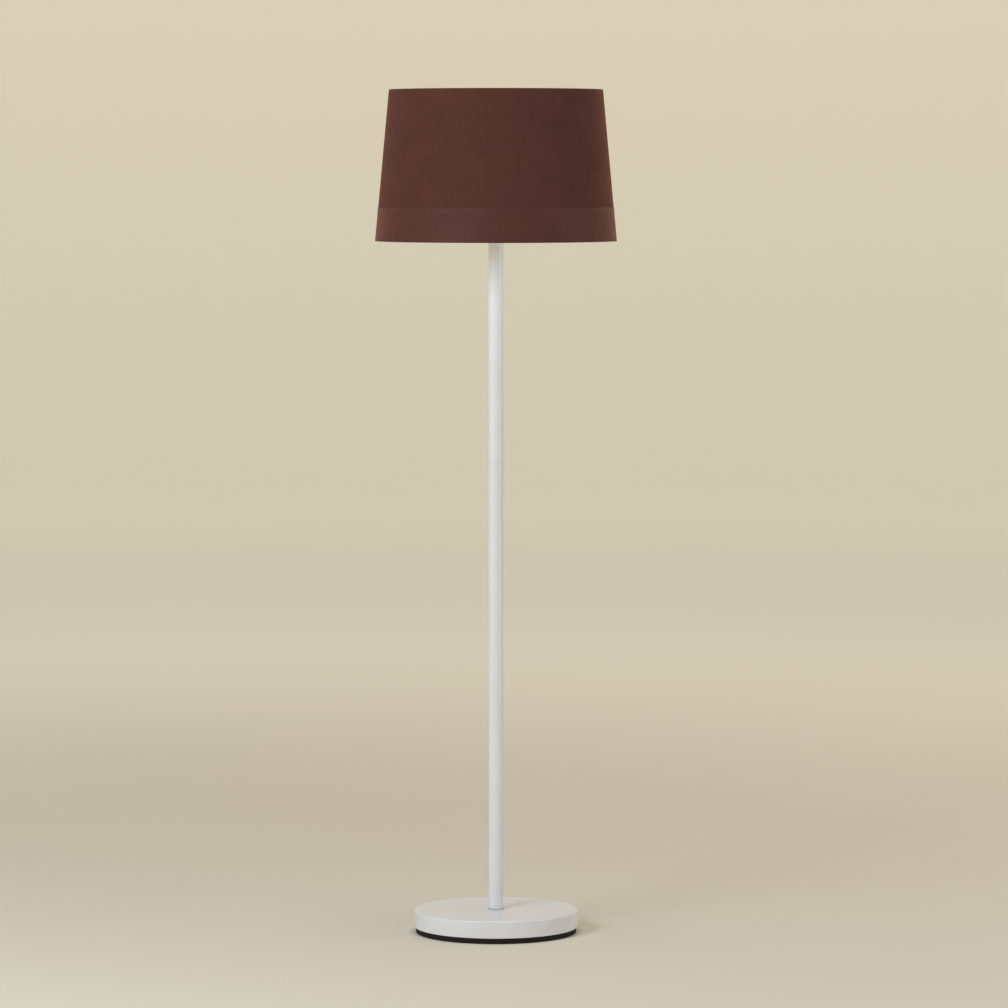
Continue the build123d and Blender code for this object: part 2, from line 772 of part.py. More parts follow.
# ================================================================== harp
foot_z = ear_top + shoulder_height + resting_gap
end_radius = 2.9
end_length = 26.0
end_bore_depth = pin_length + 0.6
wire_radius = 1.9
leg_z = foot_z + end_length - 8.0
seat_z = saddle_z + harp_height
plate_thickness = 5.0
plate_top = seat_z - 1.0 - resting_gap
plate_half = (13.0, 5.5)
wire_top_z = plate_top - plate_thickness / 2
for side, side_name in ((-1, "left"), (1, "right")):
    # Leg: up from the foot, out round the bulb and in to the top plate.
    with BuildPart() as harp_leg:
        with BuildLine() as leg_route:
            FilletPolyline(
                (side * harp_foot_x, 0, leg_z),
                (side * harp_foot_x, 0, saddle_z + 66),
                (side * 58, 0, saddle_z + 114),
                (side * 50, 0, saddle_z + 171),
                (side * 17, 0, wire_top_z),
                (side * 7.5, 0, wire_top_z),
                radius=[40, 70, 45, 9],
            )
        with BuildSketch(Plane(origin=leg_route.line @ 0, z_dir=leg_route.line % 0)):
            Circle(wire_radius)
        sweep()
    write_piece(harp_leg, f"harp_leg_{side_name}")

    # End sleeve crimped on the leg; it drops over the saddle's locating pin.
    with BuildPart() as harp_end:
        with BuildSketch(Plane.XY.offset(foot_z)):
            with Locations((side * harp_foot_x, 0)):
                Circle(end_radius)
        extrude(amount=end_length)
        fillet(harp_end.edges().group_by(Axis.Z)[-1], 0.6)
        with BuildSketch(Plane.XY.offset(foot_z)):
            with Locations((side * harp_foot_x, 0)):
                Circle(pin_radius + running_gap / 2)
        extrude(amount=end_bore_depth, mode=Mode.SUBTRACT)
        with BuildSketch(Plane.XY.offset(leg_z)):
            with Locations((side * harp_foot_x, 0)):
                Circle(wire_radius)
        extrude(amount=end_length, mode=Mode.SUBTRACT)
    write_piece(harp_end, f"harp_end_{side_name}")

    # Ferrule: the collar that is lifted to free the harp; it has a rolled foot and a grip ring.
    with BuildPart() as ferrule:
        with BuildSketch(Plane.XY.offset(foot_z)):
            with Locations((side * harp_foot_x, 0)):
                Circle(end_radius + running_gap + 0.9)
        extrude(amount=16.0)
        for ring_z in (foot_z, foot_z + 9.0):
            with BuildSketch(Plane.XY.offset(ring_z)):
                with Locations((side * harp_foot_x, 0)):
                    Circle(end_radius + running_gap + 1.5)
            extrude(amount=2.4)
        with BuildSketch(Plane.XY.offset(foot_z)):
            with Locations((side * harp_foot_x, 0)):
                Circle(end_radius + running_gap)
        extrude(amount=16.0, mode=Mode.SUBTRACT)
    write_piece(ferrule, f"ferrule_{side_name}")

# Top plate: takes both legs, and the stud turns in its upright hole.
stud_thread = 3.1
with BuildPart() as harp_top_plate:
    with BuildSketch(Plane.XY.offset(plate_top - plate_thickness)):
        RectangleRounded(2 * plate_half[0], 2 * plate_half[1], 3.0)
    extrude(amount=plate_thickness)
    with BuildSketch(Plane.XY.offset(plate_top - plate_thickness)):
        Circle(stud_thread + running_gap)
    extrude(amount=plate_thickness, mode=Mode.SUBTRACT)
    for side in (-1, 1):
        with BuildSketch(Plane(origin=(side * 7.5, 0, wire_top_z), z_dir=(side, 0, 0))):
            Circle(wire_radius)
        extrude(amount=8.0, mode=Mode.SUBTRACT)
write_piece(harp_top_plate, "harp_top_plate")

# ================================================================== shade
# Stud: riveted head under the top plate, seat for the spider, and the thread for the finial.
stud_top = seat_z + 18.0
with BuildPart() as harp_stud:
    with BuildSketch(Plane.XZ):
        with BuildLine():
            Polyline(
                (0, plate_top - plate_thickness - resting_gap - 1.5),
                (4.6, plate_top - plate_thickness - resting_gap - 1.5),
                (4.6, plate_top - plate_thickness - resting_gap),
                (stud_thread, plate_top - plate_thickness - resting_gap),
                (stud_thread, plate_top + resting_gap),
                (7.0, plate_top + resting_gap),
                (7.0, seat_z),
                (stud_thread, seat_z),
                (stud_thread, stud_top - 0.8),
                (stud_thread - 0.8, stud_top),
                (0, stud_top),
                close=True,
            )
        make_face()
    revolve(axis=Axis.Z)
write_piece(harp_stud, "harp_stud")

washer_radius = 13.0
spider_thickness = 1.6
with BuildPart() as spider_washer:
    with BuildSketch(Plane.XY.offset(seat_z)):
        Circle(washer_radius)
        Circle(stud_thread + 0.1, mode=Mode.SUBTRACT)
    extrude(amount=spider_thickness)
write_piece(spider_washer, "spider_washer")

# The shade's skin, from the outside in: hem band, cloth cover, stiff liner.
shade_foot = total_height - shade_height
hem_sheet = 0.5
cover_sheet = 0.8
liner_sheet = 1.0
cover_foot_radius = shade_foot_radius - hem_sheet
cover_slope = (cover_foot_radius - shade_top_radius) / shade_height
ring_wire = 1.3
lip_foot_height = 6.0
lip_top_height = 1.3


def cover_radius_at(z):
    """Outer radius of the cloth cover at a height."""
    return cover_foot_radius - cover_slope * (z - shade_foot)


liner_foot_z = shade_foot + cover_sheet
liner_top_z = total_height - cover_sheet
top_ring_radius = cover_radius_at(liner_top_z) - cover_sheet - liner_sheet - ring_wire - 0.15
foot_ring_radius = cover_radius_at(liner_foot_z + 2 * ring_wire) - cover_sheet - liner_sheet - ring_wire
top_lip_radius = top_ring_radius - ring_wire - 0.1
foot_lip_radius = foot_ring_radius - ring_wire - 0.1

with BuildPart() as shade_liner:
    with BuildSketch(Plane.XZ):
        with BuildLine():
            Polyline(
                (cover_radius_at(liner_foot_z) - cover_sheet, liner_foot_z),
                (cover_radius_at(liner_top_z) - cover_sheet, liner_top_z),
                (cover_radius_at(liner_top_z) - cover_sheet - liner_sheet, liner_top_z),
                (cover_radius_at(liner_foot_z) - cover_sheet - liner_sheet, liner_foot_z),
                close=True,
            )
        make_face()
    revolve(axis=Axis.Z)
write_piece(shade_liner, "shade_liner")

# Cloth cover: it wraps the liner and turns in over both rims, round the wire rings.
with BuildPart() as shade_cover:
    with BuildSketch(Plane.XZ):
        with BuildLine():
            Polyline(
                (cover_foot_radius, shade_foot),
                (shade_top_radius, total_height),
                (top_lip_radius - cover_sheet, total_height),
                (top_lip_radius - cover_sheet, total_height - lip_top_height),
                (top_lip_radius, total_height - lip_top_height),
                (top_lip_radius, liner_top_z),
                (cover_radius_at(liner_top_z) - cover_sheet, liner_top_z),
                (cover_radius_at(liner_foot_z) - cover_sheet, liner_foot_z),
                (foot_lip_radius, liner_foot_z),
                (foot_lip_radius, shade_foot + lip_foot_height),
                (foot_lip_radius - cover_sheet, shade_foot + lip_foot_height),
                (foot_lip_radius - cover_sheet, shade_foot),
                close=True,
            )
        make_face()
    revolve(axis=Axis.Z)
write_piece(shade_cover, "shade_cover")

with BuildPart() as hem_band:
    with BuildSketch(Plane.XZ):
        with BuildLine():
            Polyline(
                (cover_foot_radius, shade_foot),
                (cover_foot_radius + hem_sheet, shade_foot),
                (cover_radius_at(shade_foot + hem_height) + hem_sheet, shade_foot + hem_height),
                (cover_radius_at(shade_foot + hem_height), shade_foot + hem_height),
                close=True,
            )
        make_face()
    revolve(axis=Axis.Z)
write_piece(hem_band, "hem_band")

# Wire rings inside the two rims.
top_ring_z = liner_top_z - ring_wire
for ring_name, ring_radius, ring_z in (
    ("top_ring", top_ring_radius, top_ring_z),
    ("bottom_ring", foot_ring_radius, liner_foot_z + ring_wire),
):
    with BuildPart() as wire_ring:
        with BuildSketch(Plane.XZ):
            with Locations((ring_radius, ring_z)):
                Circle(ring_wire)
        revolve(axis=Axis.Z)
    write_piece(wire_ring, ring_name)

# Three spider arms, welded to the washer's edge and to the top ring.
arm_radius = 1.6
arm_z = seat_z + spider_thickness / 2
arm_knee = top_ring_radius - 21.0
for arm_name, arm_angle in (("back", 90), ("left", 210), ("right", 330)):
    outward = Vector(cos(radians(arm_angle)), sin(radians(arm_angle)), 0)
    with BuildPart() as spider_arm:
        with BuildLine() as arm_route:
            FilletPolyline(
                outward * (washer_radius - 0.8) + Vector(0, 0, arm_z),
                outward * arm_knee + Vector(0, 0, arm_z + 2.0),
                outward * top_ring_radius + Vector(0, 0, top_ring_z),
                radius=[18],
            )
        with BuildSketch(Plane(origin=arm_route.line @ 0, z_dir=arm_route.line % 0)):
            Circle(arm_radius)
        sweep()
    write_piece(spider_arm, f"spider_arm_{arm_name}")

# ================================================================== finial
# Turned knob that screws down on the stud and holds the spider: foot, waist and ball.
finial_z = seat_z + spider_thickness + running_gap
finial_height = 23.5
finial_foot = 6.5
finial_waist = 4.6
ball_radius = 7.2
with BuildPart() as finial:
    with BuildSketch(Plane.XZ):
        with BuildLine():
            Polyline(
                (0, finial_z),
                (finial_foot, finial_z),
                (finial_foot, finial_z + 1.6),
                (finial_waist, finial_z + 4.0),
                (finial_waist, finial_z + 11.0),
                (0, finial_z + 11.0),
                close=True,
            )
        make_face()
        with Locations((0, finial_z + finial_height - ball_radius)):
            Circle(ball_radius)
        with Locations((-ball_radius, finial_z + finial_height / 2)):
            Rectangle(2 * ball_radius, 2 * finial_height, mode=Mode.SUBTRACT)
    revolve(axis=Axis.Z)
    with BuildSketch(Plane.XY.offset(finial_z)):
        Circle(stud_thread + running_gap)
    extrude(amount=stud_top - finial_z + 0.6, mode=Mode.SUBTRACT)
write_piece(finial, "finial")
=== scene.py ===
import math

import bmesh
import bpy
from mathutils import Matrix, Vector, noise


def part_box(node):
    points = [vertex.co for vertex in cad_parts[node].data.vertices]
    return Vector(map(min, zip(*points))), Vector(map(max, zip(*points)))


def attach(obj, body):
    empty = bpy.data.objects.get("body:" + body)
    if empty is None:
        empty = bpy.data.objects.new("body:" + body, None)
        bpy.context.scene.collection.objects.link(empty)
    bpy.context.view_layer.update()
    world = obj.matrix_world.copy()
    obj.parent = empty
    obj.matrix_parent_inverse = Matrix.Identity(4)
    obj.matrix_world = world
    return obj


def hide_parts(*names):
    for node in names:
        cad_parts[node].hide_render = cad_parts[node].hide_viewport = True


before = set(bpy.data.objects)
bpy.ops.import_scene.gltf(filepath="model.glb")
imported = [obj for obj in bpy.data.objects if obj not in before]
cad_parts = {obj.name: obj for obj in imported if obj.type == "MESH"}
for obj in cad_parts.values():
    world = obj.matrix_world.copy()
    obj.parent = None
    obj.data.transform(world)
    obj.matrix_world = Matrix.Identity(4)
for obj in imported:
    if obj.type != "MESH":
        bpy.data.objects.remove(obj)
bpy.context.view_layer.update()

bl_info = {
    "name": "Floor lamp with a drum shade",
    "version": (1, 0, 0),
    "blender": (4, 5, 0),
    "location": "View3D > Sidebar > Floor lamp",
    "description": "Finishes the packed floor lamp: cloth shade, painted stand and bulb",
    "category": "Object",
}

MM = 0.001

SECTIONS_ROUND = 480  # sections round the shade, one every 2.7 mm at its foot


# ------------------------------------------------------------------ measuring the frame
def rim_radius(node, z, reach=0.3 * MM):
    """Largest radius of a node's mesh about the pole's axis, near a height."""
    points = [v.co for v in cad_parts[node].data.vertices]
    return max(math.hypot(p.x, p.y) for p in points if abs(p.z - z) < reach)


COVER_FOOT_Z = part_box("shade_cover")[0].z
COVER_TOP_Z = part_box("shade_cover")[1].z
COVER_FOOT_R = rim_radius("shade_cover", COVER_FOOT_Z)
COVER_TOP_R = rim_radius("shade_cover", COVER_TOP_Z)
HEM_TOP_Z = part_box("hem_band")[1].z


# ------------------------------------------------------------------ mesh helpers
def new_piece(name, mesh, body, material, sharp=40.0):
    """Link a finished mesh as a piece that rides on a body and wears a material."""
    mesh.materials.append(material)
    mesh.polygons.foreach_set("use_smooth", [True] * len(mesh.polygons))
    mesh.set_sharp_from_angle(angle=math.radians(sharp))
    piece = bpy.data.objects.new(name, mesh)
    bpy.context.scene.collection.objects.link(piece)
    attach(piece, body)
    return piece


def arc(centre, radius, start, end, steps):
    """Points of a circular arc in the (radius, height) plane; angles in degrees, 90 is up."""
    turns = [math.radians(start + (end - start) * i / steps) for i in range(steps + 1)]
    return [
        Vector((centre[0] + radius * math.cos(a), centre[1] + radius * math.sin(a)))
        for a in turns
    ]


def strip_section(path, half):
    """Closed outline of a strip: along one face of its middle line, round its end and back."""
    outer, inner = [], []
    for i, point in enumerate(path):
        along = (path[min(i + 1, len(path) - 1)] - path[max(i - 1, 0)]).normalized()
        across = Vector((-along.y, along.x)) * half
        outer.append(point + across)
        inner.append(point - across)
    first = (path[0] - path[1]).normalized() * half * 0.6
    last = (path[-1] - path[-2]).normalized() * half * 0.6
    return outer + [path[-1] + last] + inner[::-1] + [path[0] + first]


def revolved(name, section_at, angles, uv_at=None):
    """Join closed sections, one per angle from the front (-Y) towards +X, into a ring."""
    rows = [section_at(angle) for angle in angles]
    count = len(rows[0])
    points = [
        (p[0] * math.sin(a), -p[0] * math.cos(a), p[1])
        for a, row in zip(angles, rows)
        for p in row
    ]
    total = len(rows)
    faces = []
    for i in range(total):
        j = (i + 1) % total
        for k in range(count):
            n = (k + 1) % count
            faces.append((i * count + k, i * count + n, j * count + n, j * count + k))
    mesh = bpy.data.meshes.new(name)
    mesh.from_pydata(points, [], faces)
    if uv_at:
        layer = mesh.uv_layers.new(name="cloth")
        ends = list(angles) + [angles[0] + 2 * math.pi]
        for f in range(len(faces)):
            i, k = divmod(f, count)
            n = (k + 1) % count
            corners = ((i, k), (i, n), (i + 1, n), (i + 1, k))
            for loop, (row, at) in zip(mesh.polygons[f].loop_indices, corners):
                layer.data[loop].uv = uv_at(at, ends[row])
    mesh.update()
    return mesh


def even_angles(count):
    return [-math.pi + 2 * math.pi * i / count for i in range(count)]


def smooth_step(x, low, high):
    """0 at low, 1 at high, with level ends."""
    t = min(max((x - low) / (high - low), 0.0), 1.0)
    return t * t * (3 - 2 * t)


# ------------------------------------------------------------------ material helpers
def linear(code):
    """Linear RGB of an sRGB hex colour."""
    channels = [int(code[i : i + 2], 16) / 255 for i in (1, 3, 5)]
    return [c / 12.92 if c <= 0.04045 else ((c + 0.055) / 1.055) ** 2.4 for c in channels]


def add(tree, kind, inputs=None, **settings):
    """Add one shader node; settings are its properties, inputs its values or links."""
    node = tree.nodes.new("ShaderNode" + kind)
    for name, value in settings.items():
        setattr(node, name, value)
    for name, value in (inputs or {}).items():
        if isinstance(value, bpy.types.NodeSocket):
            tree.links.new(value, node.inputs[name])
        else:
            node.inputs[name].default_value = value
    return node


def compute(tree, operation, *values, **settings):
    """One step of arithmetic on sockets or numbers."""
    return add(tree, "Math", dict(enumerate(values)), operation=operation, **settings).outputs[0]


def remap(tree, value, start, end, **settings):
    """Carry a value from one range to another, held at both ends."""
    limits = {"From Min": start[0], "From Max": start[1], "To Min": end[0], "To Max": end[1]}
    return add(tree, "MapRange", {"Value": value, **limits}, **settings).outputs["Result"]


def blend(tree, share, first, second):
    """Mix two colours, each a socket or linear RGB, by a share from 0 to 1."""
    sides = [c if isinstance(c, bpy.types.NodeSocket) else (*c, 1) for c in (first, second)]
    return add(tree, "Mix", {0: share, 6: sides[0], 7: sides[1]}, data_type="RGBA").outputs[2]


def cloud(tree, place, size, dimensions="3D", **inputs):
    """Soft noise with patches about size metres across."""
    fields = {"Vector": place, "Scale": 1 / size, **inputs}
    return add(tree, "TexNoise", fields, noise_dimensions=dimensions).outputs["Fac"]


def relief(tree, height, depth, strength=1.0):
    """Surface normal for a height that is depth metres from its low to its high."""
    fields = {"Height": height, "Distance": depth, "Strength": strength}
    return add(tree, "Bump", fields).outputs["Normal"]


def facing_up(tree):
    """1 where the surface looks straight up, 0 where it stands upright."""
    normal = add(tree, "NewGeometry").outputs["Normal"]
    return add(tree, "SeparateXYZ", {0: normal}).outputs[2]


def new_material(name):
    material = bpy.data.materials.new(name)
    material.use_nodes = True
    material.node_tree.nodes.clear()
    return material, material.node_tree


def close_material(tree, shader):
    add(tree, "OutputMaterial", {"Surface": shader.outputs[0]})


def hard_finish(
    name,
    tones,
    roughness,
    grain_mm,
    grain_depth_mm,
    patch_mm=40.0,
    stretch=(1.0, 1.0, 1.0),
    dust=None,
    **shader,
):
    """A rigid material: two close tones in soft patches, roughness that follows patches and
    grain, and the grain raised from the surface. dust is a third tone that settles on faces
    that look up."""
    material, tree = new_material(name)
    place = add(tree, "TexCoord").outputs["Object"]
    patches = cloud(tree, place, patch_mm * MM, Detail=3.0)
    scale = [s / (grain_mm * MM) for s in stretch]
    drawn_out = add(tree, "Mapping", {"Vector": place, "Scale": scale}).outputs["Vector"]
    grain = cloud(tree, drawn_out, 1.0, Detail=4.0, Roughness=0.6)
    both = compute(tree, "ADD", patches, grain)
    spread = remap(tree, both, (0.75, 1.25), (0.0, 1.0))
    colour = blend(tree, spread, linear(tones[0]), linear(tones[1]))
    rough = remap(tree, both, (0.7, 1.3), roughness)
    if dust:
        lying = remap(tree, facing_up(tree), (0.7, 1.0), (0.0, 0.5))
        settled = compute(tree, "MULTIPLY", lying, patches)
        colour = blend(tree, settled, colour, linear(dust))
    raised = relief(tree, grain, grain_depth_mm * MM)
    surface = add(
        tree,
        "BsdfPrincipled",
        {"Base Color": colour, "Roughness": rough, "Normal": raised, **shader},
    )
    close_material(tree, surface)
    return material


def dress(material, *nodes):
    """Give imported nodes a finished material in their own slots."""
    for name in nodes:
        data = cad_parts[name].data
        for i in range(len(data.materials)):
            data.materials[i] = material


# ------------------------------------------------------------------ settings
class ShadeSettings(bpy.types.PropertyGroup):
    dark_thread: bpy.props.FloatVectorProperty(
        name="Dark thread",
        description="Colour of the cloth in its darkest threads",
        subtype="COLOR",
        size=3,
        min=0.0,
        max=1.0,
        default=linear("#442721"),
    )
    light_thread: bpy.props.FloatVectorProperty(
        name="Light thread",
        description="Colour of the cloth in its lightest threads and slubs",
        subtype="COLOR",
        size=3,
        min=0.0,
        max=1.0,
        default=linear("#58352D"),
    )
    cloth_thickness: bpy.props.FloatProperty(
        name="Cloth thickness",
        description="Cloth and its glue together, as it lies on the liner",
        subtype="DISTANCE",
        unit="LENGTH",
        default=0.75 * MM,
    )
    lap_width: bpy.props.FloatProperty(
        name="Lap width",
        description="How far one end of the cloth laps over the other at the back",
        subtype="DISTANCE",
        unit="LENGTH",
        default=12.0 * MM,
    )
    turned_edge: bpy.props.FloatProperty(
        name="Turned edge",
        description="Depth of the hem band's upper edge that is folded under",
        subtype="DISTANCE",
        unit="LENGTH",
        default=9.0 * MM,
    )


class StandSettings(bpy.types.PropertyGroup):
    paint: bpy.props.FloatVectorProperty(
        name="Paint",
        description="Colour of the powder coat on the pole and base",
        subtype="COLOR",
        size=3,
        min=0.0,
        max=1.0,
        default=linear("#E0DEDD"),
    )
    paint_roughness: bpy.props.FloatProperty(
        name="Paint roughness",
        description="Micro-roughness of the satin powder coat",
        subtype="FACTOR",
        min=0.05,
        max=1.0,
        default=0.17,
    )


class StageSettings(bpy.types.PropertyGroup):
    floor: bpy.props.FloatVectorProperty(
        name="Floor",
        description="Colour of the floor under the lamp",
        subtype="COLOR",
        size=3,
        min=0.0,
        max=1.0,
        default=linear("#E2D8C2"),
    )
    wall: bpy.props.FloatVectorProperty(
        name="Wall",
        description="Colour of the backdrop that rises behind the floor",
        subtype="COLOR",
        size=3,
        min=0.0,
        max=1.0,
        default=linear("#DED7C3"),
    )
    key_power: bpy.props.FloatProperty(
        name="Key light",
        description="Power of the large soft light on the left in front",
        subtype="POWER",
        unit="POWER",
        default=88.0,
    )
    strip_power: bpy.props.FloatProperty(
        name="Strip light",
        description="Power of the narrow upright light on the left",
        subtype="POWER",
        unit="POWER",
        default=9.0,
    )
    side_power: bpy.props.FloatProperty(
        name="Side light",
        description="Power of the tall soft light on the right",
        subtype="POWER",
        unit="POWER",
        default=31.0,
    )
    top_power: bpy.props.FloatProperty(
        name="Top light",
        description="Power of the soft light overhead",
        subtype="POWER",
        unit="POWER",
        default=56.0,
    )
    back_power: bpy.props.FloatProperty(
        name="Back light",
        description="Power of the warm light that a wall behind would send back",
        subtype="POWER",
        unit="POWER",
        default=25.0,
    )
    sky: bpy.props.FloatProperty(
        name="Room light",
        description="Strength of the even light from the whole room",
        default=0.15,
    )
    glow: bpy.props.FloatProperty(
        name="Wall glow",
        description="How brightly the backdrop's wall is lit of its own",
        default=0.52,
    )


# ------------------------------------------------------------------ shade cloth
def cloth_material(settings, name, bloom, roughness):
    """Plain-woven cotton: matt, with fine slubs both ways and a faint reddish bloom where the
    fibres are seen edge on."""
    thread_mm = 1.1  # coarser than real threads, which would be too fine to show
    material, tree = new_material(name)
    flat = add(tree, "TexCoord").outputs["UV"]  # metres on the cut cloth
    across, along, _ = add(tree, "SeparateXYZ", {0: flat}).outputs
    waves = []
    for way in (across, along):
        turns = compute(tree, "MULTIPLY", way, math.pi / (thread_mm * MM))
        waves.append(compute(tree, "SINE", turns))
    weave = compute(tree, "MULTIPLY", *waves)
    parts = []
    for size_mm, weight in (
        ((1.6, 38.0), 0.24),  # slubs in the warp threads, up and down
        ((26.0, 1.5), 0.26),  # slubs in the weft threads, round the shade
        ((2.6, 2.6), 0.28),  # uneven dye in the yarn
        ((70.0, 45.0), 0.18),  # faint patches over the whole cloth
    ):
        scale = (1 / (size_mm[0] * MM), 1 / (size_mm[1] * MM), 1.0)
        stretched = add(tree, "Mapping", {"Vector": flat, "Scale": scale}).outputs["Vector"]
        patches = cloud(tree, stretched, 1.0, dimensions="2D", Detail=2.0)
        centred = compute(tree, "SUBTRACT", patches, 0.5)
        parts.append(compute(tree, "MULTIPLY", centred, weight * 2))
    slubs = parts[0]
    for part in parts[1:]:
        slubs = compute(tree, "ADD", slubs, part)
    # the hem band's folded edge is painted a little lighter: a painted highlight where the raised
    # fold catches the light
    fold_highlight = add(tree, "Attribute", attribute_name="fold_highlight").outputs["Fac"]
    tone = compute(tree, "MULTIPLY_ADD", weave, 0.12, slubs)
    tone = compute(tree, "MULTIPLY_ADD", fold_highlight, 0.10, tone)
    tone = compute(tree, "ADD", tone, 0.5, use_clamp=True)
    colour = blend(tree, tone, settings.dark_thread, settings.light_thread)
    # lint: a few pale fibres caught in the cloth
    lint = add(
        tree,
        "TexVoronoi",
        {"Vector": flat, "Scale": 1 / (62.0 * MM), "Randomness": 1.0},
        voronoi_dimensions="2D",
    ).outputs["Distance"]
    caught = remap(tree, lint, (0.014, 0.008), (0.0, 0.25))
    colour = blend(tree, caught, colour, linear("#9A7B70"))
    height = compute(tree, "MULTIPLY_ADD", slubs, 0.8, weave)
    raised = relief(tree, height, 0.10 * MM, strength=0.7)
    rough = remap(tree, tone, (0.0, 1.0), (roughness + 0.07, roughness - 0.07))
    surface = add(
        tree,
        "BsdfPrincipled",
        {
            "Base Color": colour,
            "Roughness": rough,
            "Normal": raised,
            "IOR": 1.5,
            "Specular IOR Level": 0.25,
            "Specular Tint": (*linear("#F0C8B8"), 1),
            "Sheen Weight": bloom,
            "Sheen Roughness": 0.36,
            "Sheen Tint": (*linear("#DC7C5E"), 1),
        },
    )
    close_material(tree, surface)
    return material


def flank_radius(z):
    """Outer radius of the cloth's straight flank at a height."""
    share = (z - COVER_FOOT_Z) / (COVER_TOP_Z - COVER_FOOT_Z)
    return COVER_FOOT_R + (COVER_TOP_R - COVER_FOOT_R) * share


FLANK_LENGTH = math.hypot(COVER_TOP_Z - COVER_FOOT_Z, COVER_FOOT_R - COVER_TOP_R)
CONE_SINE = (COVER_FOOT_R - COVER_TOP_R) / FLANK_LENGTH
CONE_TOP_SLANT = COVER_TOP_R / CONE_SINE  # from the cone's point to the upper rim


def cloth_uv(slant, angle):
    """Where a point of the cloth lay on the flat piece it was cut from, in metres."""
    turned = angle * CONE_SINE
    reach = CONE_TOP_SLANT + slant
    return (reach * math.sin(turned), CONE_TOP_SLANT - reach * math.cos(turned))


LAP_EASE = 8.0 * MM / COVER_FOOT_R  # angle over which a lapped end climbs the other end
COVER_LAP_RISE = 0.72 * MM
BAND_LAP_RISE = 0.45 * MM
WAVE = 0.10 * MM


def lap_angles(lap):
    """Angles round the shade, closer together where the cloth laps at the back."""
    edge = 0.12 * MM / COVER_FOOT_R
    least_gap = 0.004
    marks = [math.pi - lap - LAP_EASE * i / 4 for i in range(5)]
    marks += [math.pi - lap * i / 6 for i in range(1, 6)] + [math.pi - edge]
    last = math.pi - lap - LAP_EASE - least_gap
    return [a for a in even_angles(SECTIONS_ROUND) if a < last] + sorted(marks)


def lapped(angle, lap):
    """0 on the plain cloth, 1 on the lap at the back, with a soft climb between."""
    return smooth_step(angle, math.pi - lap - LAP_EASE, math.pi - lap)


def ring_centre(node):
    """(radius, height) of a wire ring's centre line."""
    low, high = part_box(node)
    wire = (high.z - low.z) / 2
    return Vector((high.x - wire, (high.z + low.z) / 2))


def unevenness(angle, z, size):
    """Slow waves left in stiffened cloth, a few hundredths of a millimetre to a tenth."""
    spot = Vector((math.sin(angle), math.cos(angle), z / 0.2)) * 2.2
    return noise.noise(spot) * size


class LAMP_OT_shade_cloth(bpy.types.Operator):
    """Cloth cover of the shade: lapped at the back and rolled round both wire rings"""

    bl_idname = "lamp.shade_cloth"
    bl_label = "Shade cloth"

    def execute(self, context):
        settings = context.scene.lamp_shade
        half = settings.cloth_thickness / 2
        top_ring = ring_centre("top_ring")
        foot_ring = ring_centre("bottom_ring")
        curl = COVER_TOP_Z - half - top_ring.y  # radius of the cloth's roll round a ring
        bend = 0.8 * MM  # radius of the corner from a rim to the flank
        roll_steps, bend_steps, flank_rows = 14, 5, 44
        arm_angles = [math.radians(a) for a in (180, 60, -60)]
        notch = 4.5 * MM / top_ring.x
        cut_end, rolled_end = 100, 305  # where the roll stops, at an arm and between arms
        lap = settings.lap_width / COVER_FOOT_R

        def path_at(angle):
            gap = min(abs((angle - a + math.pi) % (2 * math.pi) - math.pi) for a in arm_angles)
            tucked = smooth_step(gap, notch, notch * 1.35)
            start = cut_end + (rolled_end - cut_end) * tucked
            path = arc(top_ring, curl, start, 90, roll_steps)
            top_r = flank_radius(COVER_TOP_Z) - half
            path += arc((top_r - bend, COVER_TOP_Z - half - bend), bend, 88, 8, bend_steps)
            low = COVER_FOOT_Z + half + bend
            high = COVER_TOP_Z - half - bend
            for i in range(flank_rows + 1):
                z = high + (low - high) * i / flank_rows
                path.append(Vector((flank_radius(z) - half, z)))
            foot_r = flank_radius(COVER_FOOT_Z) - half
            path += arc((foot_r - bend, low), bend, -8, -88, bend_steps)
            path += arc(foot_ring, curl, 270, 58, roll_steps)
            return path

        def section_at(angle):
            path = path_at(angle)
            outline = strip_section(path, half)
            lift = lapped(angle, lap) * COVER_LAP_RISE
            count = len(path)
            shaped = []
            for k, p in enumerate(outline):
                outside = roll_steps < k < count - roll_steps - 1
                wave = unevenness(angle, p[1], WAVE)
                shaped.append((p[0] + wave + (lift if outside else 0.0), p[1]))
            return shaped

        clear_of_arms = 0.4
        reference = path_at(clear_of_arms)
        slants = [0.0]
        for a, b in zip(reference, reference[1:]):
            slants.append(slants[-1] + (b - a).length)
        corner = next(i for i, p in enumerate(reference) if p.y < COVER_TOP_Z - half - bend / 2)
        slants = [s - slants[corner] for s in slants]
        around = slants + [slants[-1]] + slants[::-1] + [slants[0]]
        mesh = revolved(
            "shade_cloth",
            section_at,
            lap_angles(lap),
            lambda at, angle: cloth_uv(around[at], angle),
        )
        cotton = cloth_material(settings, "woven_brown_cotton", bloom=0.23, roughness=0.80)
        cloth = new_piece("shade_cloth", mesh, "shade", cotton)
        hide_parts("shade_cover")
        # cut as part of a ring: the cone's flank, both turn-ins and the lap
        return {"FINISHED"}


